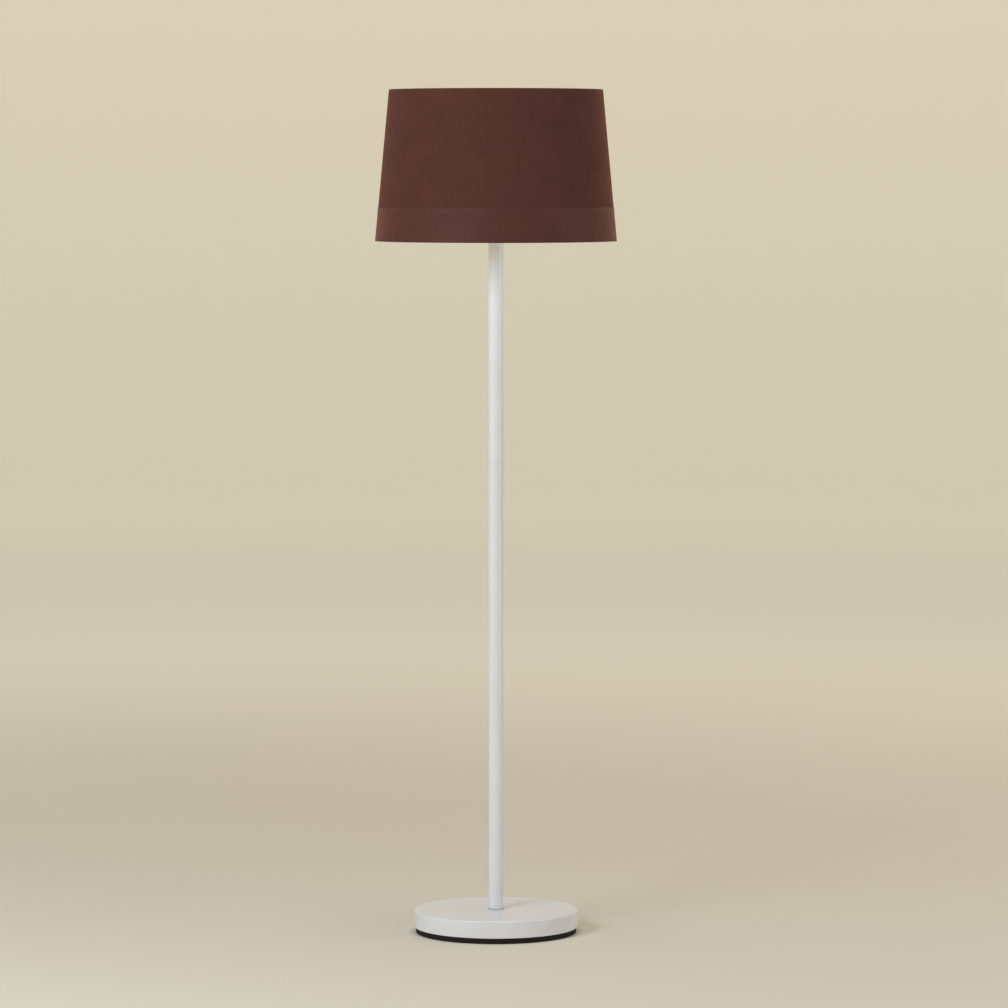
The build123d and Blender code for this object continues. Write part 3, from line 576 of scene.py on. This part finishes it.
class LAMP_OT_hem_band(bpy.types.Operator):
    """Band of the same cloth round the shade's foot, its upper edge folded under"""

    bl_idname = "lamp.hem_band"
    bl_label = "Hem band"

    def execute(self, context):
        settings = context.scene.lamp_shade
        single = 0.3 * MM
        double = 0.5 * MM
        tuck, tuck_pitch = 0.09 * MM, 3.0 * MM
        fold = settings.turned_edge
        lap = settings.lap_width / COVER_FOOT_R
        edge = double / 2
        swell_run = 3.0 * MM  # height over which the band thickens towards its fold
        rows, tuck_rows = 14, 25

        # (height, distance off the cover's face), up the outside from the foot
        low = COVER_FOOT_Z + 0.02 * MM
        outside = [(low, 0.06 * MM), (low, 0.16 * MM), (low + 0.1 * MM, 0.26 * MM)]
        body_top = HEM_TOP_Z - fold - swell_run
        for i in range(rows + 1):
            outside.append((low + 0.25 * MM + (body_top - low) * i / rows, single))
        for share in (0.35, 0.7, 1.0):
            swell = single + (double - single) * smooth_step(share, 0, 1)
            outside.append((body_top + swell_run * share, swell))
        # the folded edge is pressed into shallow tucks that run round the shade
        for i in range(1, tuck_rows):
            depth = fold * (1 - i / tuck_rows)
            crest = tuck * (0.5 - 0.5 * math.cos(2 * math.pi * depth / tuck_pitch))
            outside.append((HEM_TOP_Z - depth, double + crest))
        for turn in (20, 45, 70, 90):
            a = math.radians(turn)
            outside.append((HEM_TOP_Z - edge + edge * math.sin(a), edge + edge * math.cos(a)))
        outside.append((HEM_TOP_Z - 0.2 * MM, 0.04 * MM))
        inside = [(low + (HEM_TOP_Z - low) * i / 10, 0.01 * MM) for i in range(9, 0, -1)]
        outline = outside + inside
        first_double = next(i for i, p in enumerate(outside) if p[1] >= double * 0.99)

        def section_at(angle):
            under = lapped(angle, lap) * COVER_LAP_RISE
            lift = lapped(angle, lap) * BAND_LAP_RISE
            spot = Vector((math.sin(angle), math.cos(angle), 0.3)) * 9
            wave = 0.06 * MM * noise.noise(spot)  # the fold isn't quite level
            section = []
            for k, (z, off) in enumerate(outline):
                r = flank_radius(z) + off + unevenness(angle, z, WAVE)
                raised = lift if k < len(outside) and off > 0.1 * MM else 0.0
                section.append((r + under + raised, z + (wave if z > body_top else 0.0)))
            return section

        cut_from = (0.41, 0.37)  # another part of the cloth, so its slubs differ from the cover's

        def uv_at(at, angle):
            z = outline[at][0]
            slant = (COVER_TOP_Z - z) / (COVER_TOP_Z - COVER_FOOT_Z) * FLANK_LENGTH
            u, v = cloth_uv(slant, angle)
            return (u + cut_from[0], v + cut_from[1])

        mesh = revolved("hem_cloth", section_at, lap_angles(lap), uv_at)
        count = len(outline)
        # mark the folded edge for the painted highlight that the cloth material puts on it
        fold_highlight = mesh.attributes.new("fold_highlight", "FLOAT", "POINT")
        for i in range(len(mesh.vertices)):
            fold_highlight.data[i].value = float(first_double <= i % count < len(outside))
        # cut across the grain, so its nap catches more of the light
        name = "woven_brown_cotton_on_the_cross"
        cotton = cloth_material(settings, name, bloom=0.36, roughness=0.58)
        band = new_piece("hem_cloth", mesh, "shade", cotton)
        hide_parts("hem_band")
        return {"FINISHED"}


# ------------------------------------------------------------------ liner and shade frame
class LAMP_OT_liner(bpy.types.Operator):
    """Stiff white liner inside the cloth, and the tape over its seam"""

    bl_idname = "lamp.liner"
    bl_label = "Liner"

    def execute(self, context):
        # calendered styrene sheet: smooth, warm white, a soft gloss from the rollers
        styrene = hard_finish(
            "styrene_sheet",
            ("#E9E3D3", "#F1ECDF"),
            (0.42, 0.55),
            grain_mm=2.0,
            grain_depth_mm=0.012,
            patch_mm=90.0,
            stretch=(1.0, 1.0, 0.25),
            IOR=1.55,
        )
        dress(styrene, "shade_liner")
        # clear adhesive tape over the liner's butt joint: glossier and a shade yellower
        tape_film = hard_finish(
            "adhesive_tape",
            ("#E6DFCC", "#E9E3D1"),
            (0.24, 0.30),
            grain_mm=9.0,
            grain_depth_mm=0.004,
            patch_mm=60.0,
            IOR=1.48,
        )
        low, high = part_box("shade_liner")
        margin = 12 * MM
        foot, top = low.z + margin, high.z - margin
        width, sheet, glue = 19 * MM, 0.12 * MM, 0.02 * MM
        inner_face = 1.8 * MM  # from the cloth's outer face to the liner's inner one
        half_turn = width / 2 / rim_radius("shade_liner", low.z)
        columns, rows = 8, 24
        grid = []
        for off in (glue, glue + sheet):
            for j in range(rows + 1):
                z = foot + (top - foot) * j / rows
                for i in range(columns + 1):
                    a = math.pi / 2 + half_turn * (2 * i / columns - 1)
                    r = flank_radius(z) - inner_face - off
                    grid.append((r * math.cos(a), r * math.sin(a), z))
        side = (rows + 1) * (columns + 1)
        faces = []
        for j in range(rows):
            for i in range(columns):
                a = j * (columns + 1) + i
                b, c, d = a + 1, a + columns + 2, a + columns + 1
                faces.append((a, b, c, d))
                faces.append((d + side, c + side, b + side, a + side))
        border = list(range(columns + 1))
        border += [j * (columns + 1) + columns for j in range(1, rows + 1)]
        border += [rows * (columns + 1) + i for i in range(columns - 1, -1, -1)]
        border += [j * (columns + 1) for j in range(rows - 1, 0, -1)]
        for a, b in zip(border, border[1:] + border[:1]):
            faces.append((b, a, a + side, b + side))
        mesh = bpy.data.meshes.new("liner_seam_tape")
        mesh.from_pydata(grid, [], faces)
        mesh.update()
        new_piece("liner_seam_tape", mesh, "shade", tape_film)
        return {"FINISHED"}


class LAMP_OT_spider(bpy.types.Operator):
    """Spider fitter: wire rings, three arms, their washer and the welds between them"""

    bl_idname = "lamp.spider"
    bl_label = "Spider and rings"

    def execute(self, context):
        # drawn wire dipped in white enamel: semi-gloss, with slow runs in the coat
        coated_wire = hard_finish(
            "enamelled_wire",
            ("#DCDAD2", "#E6E4DD"),
            (0.26, 0.40),
            grain_mm=1.6,
            grain_depth_mm=0.03,
            patch_mm=14.0,
            IOR=1.5,
        )
        arms = ("spider_arm_back", "spider_arm_left", "spider_arm_right")
        dress(coated_wire, "top_ring", "bottom_ring", "spider_washer", *arms)
        top_ring = ring_centre("top_ring")
        washer_low, washer_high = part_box("spider_washer")
        bm = bmesh.new()
        for number, azimuth in enumerate((90, 210, 330)):
            out = Vector((math.cos(math.radians(azimuth)), math.sin(math.radians(azimuth)), 0))
            hub_z = (washer_low.z + washer_high.z) / 2
            welds = (
                (out * (washer_high.x + 0.4 * MM) + Vector((0, 0, hub_z)), (2.6, 2.3, 1.5)),
                (
                    out * (top_ring.x - 1.5 * MM) + Vector((0, 0, top_ring.y - 1.6 * MM)),
                    (2.0, 2.4, 1.6),
                ),
            )
            side = Vector((-out.y, out.x, 0))
            for spot, size in welds:
                made = bmesh.ops.create_icosphere(bm, subdivisions=4, radius=1.0)["verts"]
                for v in made:
                    swell = 1 + 0.16 * noise.noise(v.co * 1.7 + Vector((number * 7.1, spot.z, 0)))
                    p = v.co * swell
                    v.co = spot + (out * p.x * size[0] + side * p.y * size[1]) * MM
                    v.co.z += p.z * size[2] * MM
        mesh = bpy.data.meshes.new("spider_welds")
        bm.to_mesh(mesh)
        bm.free()
        new_piece("spider_welds", mesh, "shade", coated_wire)
        return {"FINISHED"}


# ------------------------------------------------------------------ stand
def powder_coat(settings):
    """White polyester powder, baked on: satin, with the faint orange peel of powder that has
    flowed out, and a trace of dust where it faces up."""
    material, tree = new_material("satin_powder_coat")
    place = add(tree, "TexCoord").outputs["Object"]
    # orange peel is 1.5 to 3 mm from crest to crest and a few microns deep
    peel = cloud(tree, place, 2.2 * MM, Detail=1.5)
    patches = cloud(tree, place, 55 * MM, Detail=3.0)
    rubbed = cloud(tree, place, 9 * MM, Detail=6.0, Roughness=0.7, Distortion=1.4)
    shaded = [c * 0.965 for c in settings.paint]
    spread = remap(tree, patches, (0.35, 0.65), (0.0, 1.0))
    colour = blend(tree, spread, shaded, settings.paint)
    # dust and floor polish gather on the level top of the base
    level = remap(tree, facing_up(tree), (0.8, 1.0), (0.0, 0.12))
    dusty = compute(tree, "MULTIPLY", level, rubbed)
    colour = blend(tree, dusty, colour, linear("#CFCBC0"))
    # a fine dark line painted in the joint between the two lengths of pole: painted shade of the
    # narrow gap there
    height = add(tree, "SeparateXYZ", {0: place}).outputs[2]
    joint = compute(tree, "COMPARE", height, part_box("pole_lower")[1].z, 0.25 * MM)
    seam_shade = compute(tree, "MULTIPLY", joint, 0.3)
    colour = blend(tree, seam_shade, colour, linear("#8F8B84"))
    base = settings.paint_roughness
    uneven = remap(tree, rubbed, (0.3, 0.7), (base - 0.04, base + 0.05))
    rough = compute(tree, "MULTIPLY_ADD", dusty, 0.35, uneven)
    raised = relief(tree, peel, 0.004 * MM)
    surface = add(
        tree,
        "BsdfPrincipled",
        {"Base Color": colour, "Roughness": rough, "Normal": raised, "IOR": 1.5},
    )
    close_material(tree, surface)
    return material


class LAMP_OT_stand(bpy.types.Operator):
    """Painted steel: the base's shell, both lengths of pole and the check ring"""

    bl_idname = "lamp.stand"
    bl_label = "Painted stand"

    def execute(self, context):
        coat = powder_coat(context.scene.lamp_stand)
        dress(coat, "base_shell", "pole_lower", "pole_upper", "check_ring")
        # die-cut rubber washer: grey, matt, slightly open at its cut edge
        gasket = hard_finish(
            "grey_rubber_gasket",
            ("#989892", "#ACABA5"),
            (0.7, 0.9),
            grain_mm=0.8,
            grain_depth_mm=0.06,
            patch_mm=6.0,
            IOR=1.52,
        )
        dress(gasket, "pole_gasket")
        return {"FINISHED"}


class LAMP_OT_foot(bpy.types.Operator):
    """Rubber foot ring, cord bushing and the plate and screws under the base"""

    bl_idname = "lamp.foot"
    bl_label = "Foot and underside"

    def execute(self, context):
        # moulded black rubber: almost no gloss, a fine mould grain, dust on the bulge
        rubber = hard_finish(
            "moulded_black_rubber",
            ("#0F0D0A", "#181512"),
            (0.72, 0.92),
            grain_mm=1.2,
            grain_depth_mm=0.05,
            patch_mm=22.0,
            dust="#322E28",
            IOR=1.52,
            **{"Specular IOR Level": 0.3},
        )
        dress(rubber, "foot_ring", "cord_bushing")
        dress(zinc_plate(), "bottom_cover", "cover_screws")
        return {"FINISHED"}


def zinc_plate():
    """Zinc-plated steel: pale grey with a faint blue and straw cast, half dull."""
    return bpy.data.materials.get("zinc_plated_steel") or hard_finish(
        "zinc_plated_steel",
        ("#9FA3A6", "#B4B0A2"),
        (0.30, 0.46),
        grain_mm=0.9,
        grain_depth_mm=0.015,
        patch_mm=9.0,
        Metallic=1.0,
    )


def brass_strip():
    """Rolled brass: yellow metal, drawn one way, slightly browned in patches."""
    return bpy.data.materials.get("rolled_brass") or hard_finish(
        "rolled_brass",
        ("#B08A48", "#D0AC66"),
        (0.22, 0.38),
        grain_mm=0.5,
        grain_depth_mm=0.01,
        patch_mm=5.0,
        stretch=(1.0, 1.0, 0.2),
        Metallic=1.0,
    )


def nickel_plate():
    """Nickel-plated steel: warm silver, drawn round and then dulled by handling."""
    return bpy.data.materials.get("satin_nickel_plate") or hard_finish(
        "satin_nickel_plate",
        ("#B3ADA2", "#C9C4BA"),
        (0.20, 0.34),
        grain_mm=0.7,
        grain_depth_mm=0.012,
        patch_mm=18.0,
        stretch=(0.35, 0.35, 2.2),
        Metallic=1.0,
    )


def phenolic():
    """Phenolic moulding: dark brown-black, hard gloss with faint flow marks."""
    return bpy.data.materials.get("phenolic_moulding") or hard_finish(
        "phenolic_moulding",
        ("#181412", "#2A221D"),
        (0.16, 0.30),
        grain_mm=1.4,
        grain_depth_mm=0.015,
        patch_mm=7.0,
        IOR=1.6,
    )


class LAMP_OT_base_inside(bpy.types.Operator):
    """Inside the base: weight, clamping stack and connector block"""

    bl_idname = "lamp.base_inside"
    bl_label = "Inside the base"

    def execute(self, context):
        # sand-cast iron, unmachined: dark grey with a coarse grain and rust in the hollows
        iron = hard_finish(
            "sand_cast_iron",
            ("#3B3330", "#56514D"),
            (0.62, 0.85),
            grain_mm=2.4,
            grain_depth_mm=0.35,
            patch_mm=30.0,
            Metallic=0.85,
        )
        dress(iron, "base_weight")
        # moulded nylon: milky off-white, soft gloss, faint sink marks
        nylon = hard_finish(
            "moulded_nylon",
            ("#D9D5C6", "#E6E3D8"),
            (0.32, 0.46),
            grain_mm=1.8,
            grain_depth_mm=0.02,
            patch_mm=10.0,
            IOR=1.53,
            **{"Subsurface Weight": 0.08, "Subsurface Scale": 0.004},
        )
        dress(nylon, "connector_block")
        dress(zinc_plate(), "base_washer", "lock_washer", "base_nut", "base_nipple", "block_screw")
        # the threaded plugs inside the pole are plated the same way
        dress(zinc_plate(), "pole_foot_insert", "pole_top_insert", "coupler_socket", "coupler_stud")
        dress(brass_strip(), "clamp_screws")
        return {"FINISHED"}


class LAMP_OT_wiring(bpy.types.Operator):
    """The two insulated leads inside the pole"""

    bl_idname = "lamp.wiring"
    bl_label = "Leads"

    def execute(self, context):
        # extruded PVC: smooth soft plastic with fine lines along the lead
        for node, tones in (
            ("lead_live", ("#121211", "#1F1E1C")),
            ("lead_neutral", ("#D8D5CA", "#E4E2DA")),
        ):
            pvc = hard_finish(
                "extruded_pvc_" + node.split("_")[1],
                tones,
                (0.30, 0.44),
                grain_mm=0.6,
                grain_depth_mm=0.01,
                patch_mm=12.0,
                stretch=(1.0, 1.0, 0.08),
                IOR=1.53,
            )
            dress(pvc, node)
        return {"FINISHED"}


# ------------------------------------------------------------------ lampholder and bulb
def rolled_thread(name, path, half, pitch, depth, low, high, body, material):
    """Sheet-metal sleeve turned about the pole's axis, with a round thread rolled in it."""

    runout = pitch * 0.6  # height over which the thread fades at each end

    def section_at(angle):
        section = []
        for r, z in strip_section(path, half):
            worked = smooth_step(z, low, low + runout) * smooth_step(-z, -high, -high + runout)
            turn = (z - low) / pitch - angle / (2 * math.pi)
            section.append((r + worked * depth * (0.5 - 0.5 * math.cos(2 * math.pi * turn)), z))
        return section

    mesh = revolved(name, section_at, even_angles(120))
    return new_piece(name, mesh, body, material, sharp=50.0)


def wall_path(points, step):
    """Points of a polyline in the (radius, height) plane, none further apart than step."""
    path = []
    for a, b in zip(points, points[1:]):
        a, b = Vector(a), Vector(b)
        count = max(1, math.ceil((b - a).length / step))
        path += [a.lerp(b, i / count) for i in range(count)]
    return path + [Vector(points[-1])]


class LAMP_OT_lampholder(bpy.types.Operator):
    """Lampholder and harp saddle, with the screw shell's rolled thread"""

    bl_idname = "lamp.lampholder"
    bl_label = "Lampholder"

    def execute(self, context):
        nickel, brass = nickel_plate(), brass_strip()
        dress(nickel, "harp_saddle", "socket_cap", "socket_shell")
        dress(zinc_plate(), "socket_nipple", "cap_screw")
        dress(brass, "terminal_screws", "centre_contact")
        dress(phenolic(), "socket_body")
        # vulcanised fibre sleeve: grey-buff paper board, matt, faintly mottled
        fibre = hard_finish(
            "vulcanised_fibre",
            ("#7D7160", "#978A76"),
            (0.62, 0.8),
            grain_mm=1.0,
            grain_depth_mm=0.03,
            patch_mm=8.0,
            IOR=1.5,
        )
        dress(fibre, "socket_liner")
        low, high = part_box("screw_shell")
        sheet = 0.45 * MM
        wall = high.x - sheet / 2
        path = wall_path(
            [
                (7.2 * MM, low.z + sheet / 2),
                (wall - 1.0 * MM, low.z + sheet / 2),
                (wall - 0.3 * MM, low.z + 0.5 * MM),
                (wall, low.z + 1.3 * MM),
                (wall, high.z - sheet),
            ],
            0.3 * MM,
        )
        shell = rolled_thread(
            "threaded_shell",
            path,
            sheet / 2,
            pitch=3.63 * MM,
            depth=0.75 * MM,
            low=low.z + 3 * MM,
            high=high.z - 1.5 * MM,
            body="stand",
            material=brass,
        )
        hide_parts("screw_shell")
        return {"FINISHED"}


class LAMP_OT_switch(bpy.types.Operator):
    """Turn switch: steel shaft and fluted knob"""

    bl_idname = "lamp.switch"
    bl_label = "Switch"

    def execute(self, context):
        dress(zinc_plate(), "switch_shaft")
        dress(phenolic(), "switch_knob")
        return {"FINISHED"}


class LAMP_OT_bulb(bpy.types.Operator):
    """Bulb: frosted globe, stem and filaments, and its cap with a rolled thread"""

    bl_idname = "lamp.bulb"
    bl_label = "Bulb"

    def execute(self, context):
        # glass etched white on the inside: milky, with the clear gloss of the outer face
        material, tree = new_material("frosted_globe_glass")
        place = add(tree, "TexCoord").outputs["Object"]
        etch = cloud(tree, place, 7 * MM, Detail=5.0)
        colour = blend(tree, etch, linear("#F1F0EA"), linear("#FAF9F5"))
        rough = remap(tree, etch, (0.0, 1.0), (0.42, 0.56))
        raised = relief(tree, etch, 0.01 * MM)
        globe = add(
            tree,
            "BsdfPrincipled",
            {
                "Base Color": colour,
                "Roughness": rough,
                "Normal": raised,
                "IOR": 1.52,
                "Transmission Weight": 0.35,
                "Coat Weight": 1.0,
                "Coat Roughness": 0.03,
            },
        )
        close_material(tree, globe)
        dress(material, "bulb_glass")
        # drawn lead glass: clear, faintly green, with slow waves
        clear = hard_finish(
            "clear_stem_glass",
            ("#DDE6DF", "#EDF3EE"),
            (0.03, 0.07),
            grain_mm=5.0,
            grain_depth_mm=0.02,
            patch_mm=15.0,
            IOR=1.52,
            **{"Transmission Weight": 0.9},
        )
        dress(clear, "bulb_stem")
        # phosphor-coated strips: chalky deep yellow
        phosphor = hard_finish(
            "phosphor_coating",
            ("#D9A53A", "#E8BD5C"),
            (0.6, 0.75),
            grain_mm=0.5,
            grain_depth_mm=0.05,
            patch_mm=3.0,
            IOR=1.5,
        )
        dress(phosphor, "bulb_filaments")
        # black glass button round the contact: fired, glossy, faintly pitted
        vitrite = hard_finish(
            "black_glass_button",
            ("#0B0B0D", "#17171A"),
            (0.10, 0.22),
            grain_mm=1.0,
            grain_depth_mm=0.03,
            patch_mm=4.0,
            IOR=1.55,
        )
        dress(vitrite, "bulb_insulator")
        dress(brass_strip(), "bulb_contact")
        # rolled aluminium: bright and thin, with streaks that follow the turns
        aluminium = hard_finish(
            "rolled_aluminium",
            ("#BDBEC0", "#D2D2D1"),
            (0.22, 0.36),
            grain_mm=0.6,
            grain_depth_mm=0.012,
            patch_mm=6.0,
            stretch=(0.3, 0.3, 2.0),
            Metallic=1.0,
        )
        low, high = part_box("bulb_cap")
        sheet = 0.3 * MM
        wall = high.x - 0.5 * MM - sheet / 2
        path = wall_path(
            [
                (8.95 * MM, low.z + sheet),
                (wall - 0.5 * MM, low.z + 2.3 * MM),
                (wall, low.z + 3.0 * MM),
                (wall, high.z - sheet),
            ],
            0.28 * MM,
        )
        cap = rolled_thread(
            "threaded_cap",
            path,
            sheet / 2,
            pitch=3.63 * MM,
            depth=0.5 * MM,
            low=low.z + 3.2 * MM,
            high=high.z - 1.6 * MM,
            body="bulb",
            material=aluminium,
        )
        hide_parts("bulb_cap")
        return {"FINISHED"}


class LAMP_OT_harp(bpy.types.Operator):
    """Harp: two wire legs with their end sleeves, ferrules and top plate, and the stud"""

    bl_idname = "lamp.harp"
    bl_label = "Harp"

    def execute(self, context):
        nickel = nickel_plate()
        legs = ("harp_leg_left", "harp_leg_right", "harp_end_left", "harp_end_right")
        dress(nickel, *legs, "harp_top_plate", "ferrule_left", "ferrule_right", "harp_stud")
        return {"FINISHED"}


class LAMP_OT_finial(bpy.types.Operator):
    """Turned finial that holds the shade down"""

    bl_idname = "lamp.finial"
    bl_label = "Finial"

    def execute(self, context):
        dress(nickel_plate(), "finial")
        return {"FINISHED"}


# ------------------------------------------------------------------ stage
class LAMP_OT_stage(bpy.types.Operator):
    """Pale floor and backdrop, soft studio lights and the camera"""

    bl_idname = "lamp.stage"
    bl_label = "Stage, lights and camera"

    def execute(self, context):
        settings = context.scene.lamp_stage
        scene = context.scene
        scene.view_settings.view_transform = "Standard"
        self.backdrop(settings)
        self.lights(scene, settings)
        # a long lens from across a room, near the shade's own height and tilted down by 4 degrees
        distance, eye_height, tilt = 8.176, 1.3054, 0.0707
        sideways, pan = 0.0004, -0.0016
        camera = bpy.data.cameras.new("camera")
        camera.lens = 173.75
        camera.sensor_width = 36.0
        eye = bpy.data.objects.new("camera", camera)
        scene.collection.objects.link(eye)
        eye.location = (sideways, -distance, eye_height)
        eye.rotation_euler = (math.pi / 2 - tilt, 0.0, pan)
        scene.camera = eye
        return {"FINISHED"}

    def backdrop(self, settings):
        """Round floor that curves up into a wall all round, open at the top."""
        radius, cove, height = 12.0, 2.5, 4.2
        section = [(0.02, 0.0)] + [(r, 0.0) for r in (0.6, 1.5, 3.0, 6.0, radius - cove)]
        for i in range(1, 13):
            a = math.radians(-90 + 90 * i / 12)
            section.append((radius - cove + cove * math.cos(a), cove + cove * math.sin(a)))
        section.append((radius, height))
        turns = 128
        points = [
            (r * math.cos(2 * math.pi * i / turns), r * math.sin(2 * math.pi * i / turns), z)
            for i in range(turns)
            for r, z in section
        ]
        count = len(section)
        faces = []
        for i in range(turns):
            here, there = i * count, (i + 1) % turns * count
            for k in range(count - 1):
                faces.append((here + k, there + k, there + k + 1, here + k + 1))
        faces.append([i * count for i in range(turns)][::-1])
        mesh = bpy.data.meshes.new("studio_floor")
        mesh.from_pydata(points, [], faces)
        mesh.polygons.foreach_set("use_smooth", [True] * len(mesh.polygons))
        # matt painted board: two close creams that run into each other away from the lamp
        material, tree = new_material("painted_board")
        place = add(tree, "TexCoord").outputs["Object"]
        away = add(tree, "VectorMath", {0: place}, operation="LENGTH").outputs["Value"]
        smooth = {"interpolation_type": "SMOOTHSTEP"}
        share = remap(tree, away, (0.4, 3.5), (0.0, 1.0), **smooth)
        colour = blend(tree, share, settings.floor, settings.wall)
        mottle = cloud(tree, place, 1 / 3, Detail=4.0)
        rough = remap(tree, mottle, (0.0, 1.0), (0.55, 0.75))
        # the board gives off a little light of its own, none by the lamp and most at the wall
        glow = remap(tree, away, (0.5, 5.2), (0.0, settings.glow), **smooth)
        surface = add(
            tree,
            "BsdfPrincipled",
            {
                "Base Color": colour,
                "Roughness": rough,
                "Specular IOR Level": 0.05,
                "Emission Color": colour,
                "Emission Strength": glow,
            },
        )
        close_material(tree, surface)
        mesh.materials.append(material)
        floor = bpy.data.objects.new("studio_floor", mesh)
        bpy.context.scene.collection.objects.link(floor)

    def lights(self, scene, settings):
        """Studio lights round the lamp, given by azimuth from the front towards the left,
        elevation, distance and size, and an even room."""
        world = bpy.data.worlds.new("room")
        world.use_nodes = True
        world.node_tree.nodes.clear()
        room = add(
            world.node_tree,
            "Background",
            {"Color": (*linear("#FFFCF8"), 1), "Strength": settings.sky},
        )
        add(world.node_tree, "OutputWorld", {"Surface": room.outputs[0]})
        scene.world = world
        middle, target = Vector((0, 0, 0.9)), Vector((0, 0, 0.8))
        for name, azimuth, elevation, distance, size, power, tint in (
            ("key", 37, 20, 3.8, (1.4, 1.4), settings.key_power, "#DCEBFE"),
            ("strip", 48, 1, 3.5, (0.3, 1.6), settings.strip_power, "#EAF3FF"),
            ("side", -80, 3, 3.5, (0.4, 2.2), settings.side_power, "#D8E8FF"),
            ("top", 0, 88, 3.2, (2.4, 2.4), settings.top_power, "#FCFEFF"),
            ("back", -145, 32, 4.2, (3.2, 2.2), settings.back_power, "#FFD6BA"),
        ):
            a, e = math.radians(azimuth), math.radians(elevation)
            way = Vector((-math.sin(a) * math.cos(e), -math.cos(a) * math.cos(e), math.sin(e)))
            lamp = bpy.data.lights.new(name, "AREA")
            lamp.shape = "RECTANGLE"
            lamp.size, lamp.size_y = size
            lamp.energy = power
            lamp.color = linear(tint)
            holder = bpy.data.objects.new(name, lamp)
            holder.location = middle + way * distance
            aimed = target - holder.location
            holder.rotation_euler = aimed.to_track_quat("-Z", "Y").to_euler()
            holder.visible_camera = False
            scene.collection.objects.link(holder)


# ------------------------------------------------------------------ add-on
STEPS = (
    LAMP_OT_stand,
    LAMP_OT_foot,
    LAMP_OT_base_inside,
    LAMP_OT_wiring,
    LAMP_OT_lampholder,
    LAMP_OT_switch,
    LAMP_OT_bulb,
    LAMP_OT_harp,
    LAMP_OT_finial,
    LAMP_OT_liner,
    LAMP_OT_spider,
    LAMP_OT_shade_cloth,
    LAMP_OT_hem_band,
    LAMP_OT_stage,
)


class LAMP_PT_panel(bpy.types.Panel):
    """Sidebar panel that lists the lamp's settings and its pieces"""

    bl_idname = "LAMP_PT_panel"
    bl_label = "Floor lamp"
    bl_space_type = "VIEW_3D"
    bl_region_type = "UI"
    bl_category = "Floor lamp"

    def draw(self, context):
        for group in ("lamp_shade", "lamp_stand", "lamp_stage"):
            settings = getattr(context.scene, group)
            box = self.layout.box()
            for name in settings.__annotations__:
                box.prop(settings, name)
        for step in STEPS:
            self.layout.operator(step.bl_idname, text=step.bl_label)


GROUPS = (
    ("lamp_shade", ShadeSettings),
    ("lamp_stand", StandSettings),
    ("lamp_stage", StageSettings),
)


def register():
    for _, group in GROUPS:
        bpy.utils.register_class(group)
    for step in STEPS:
        bpy.utils.register_class(step)
    bpy.utils.register_class(LAMP_PT_panel)
    for name, group in GROUPS:
        setattr(bpy.types.Scene, name, bpy.props.PointerProperty(type=group))


def unregister():
    for name, _ in GROUPS:
        delattr(bpy.types.Scene, name)
    bpy.utils.unregister_class(LAMP_PT_panel)
    for step in reversed(STEPS):
        bpy.utils.unregister_class(step)
    for _, group in reversed(GROUPS):
        bpy.utils.unregister_class(group)


def main():
    register()
    for step in STEPS:
        group, name = step.bl_idname.split(".")
        getattr(getattr(bpy.ops, group), name)()


if __name__ == "__main__":
    main()
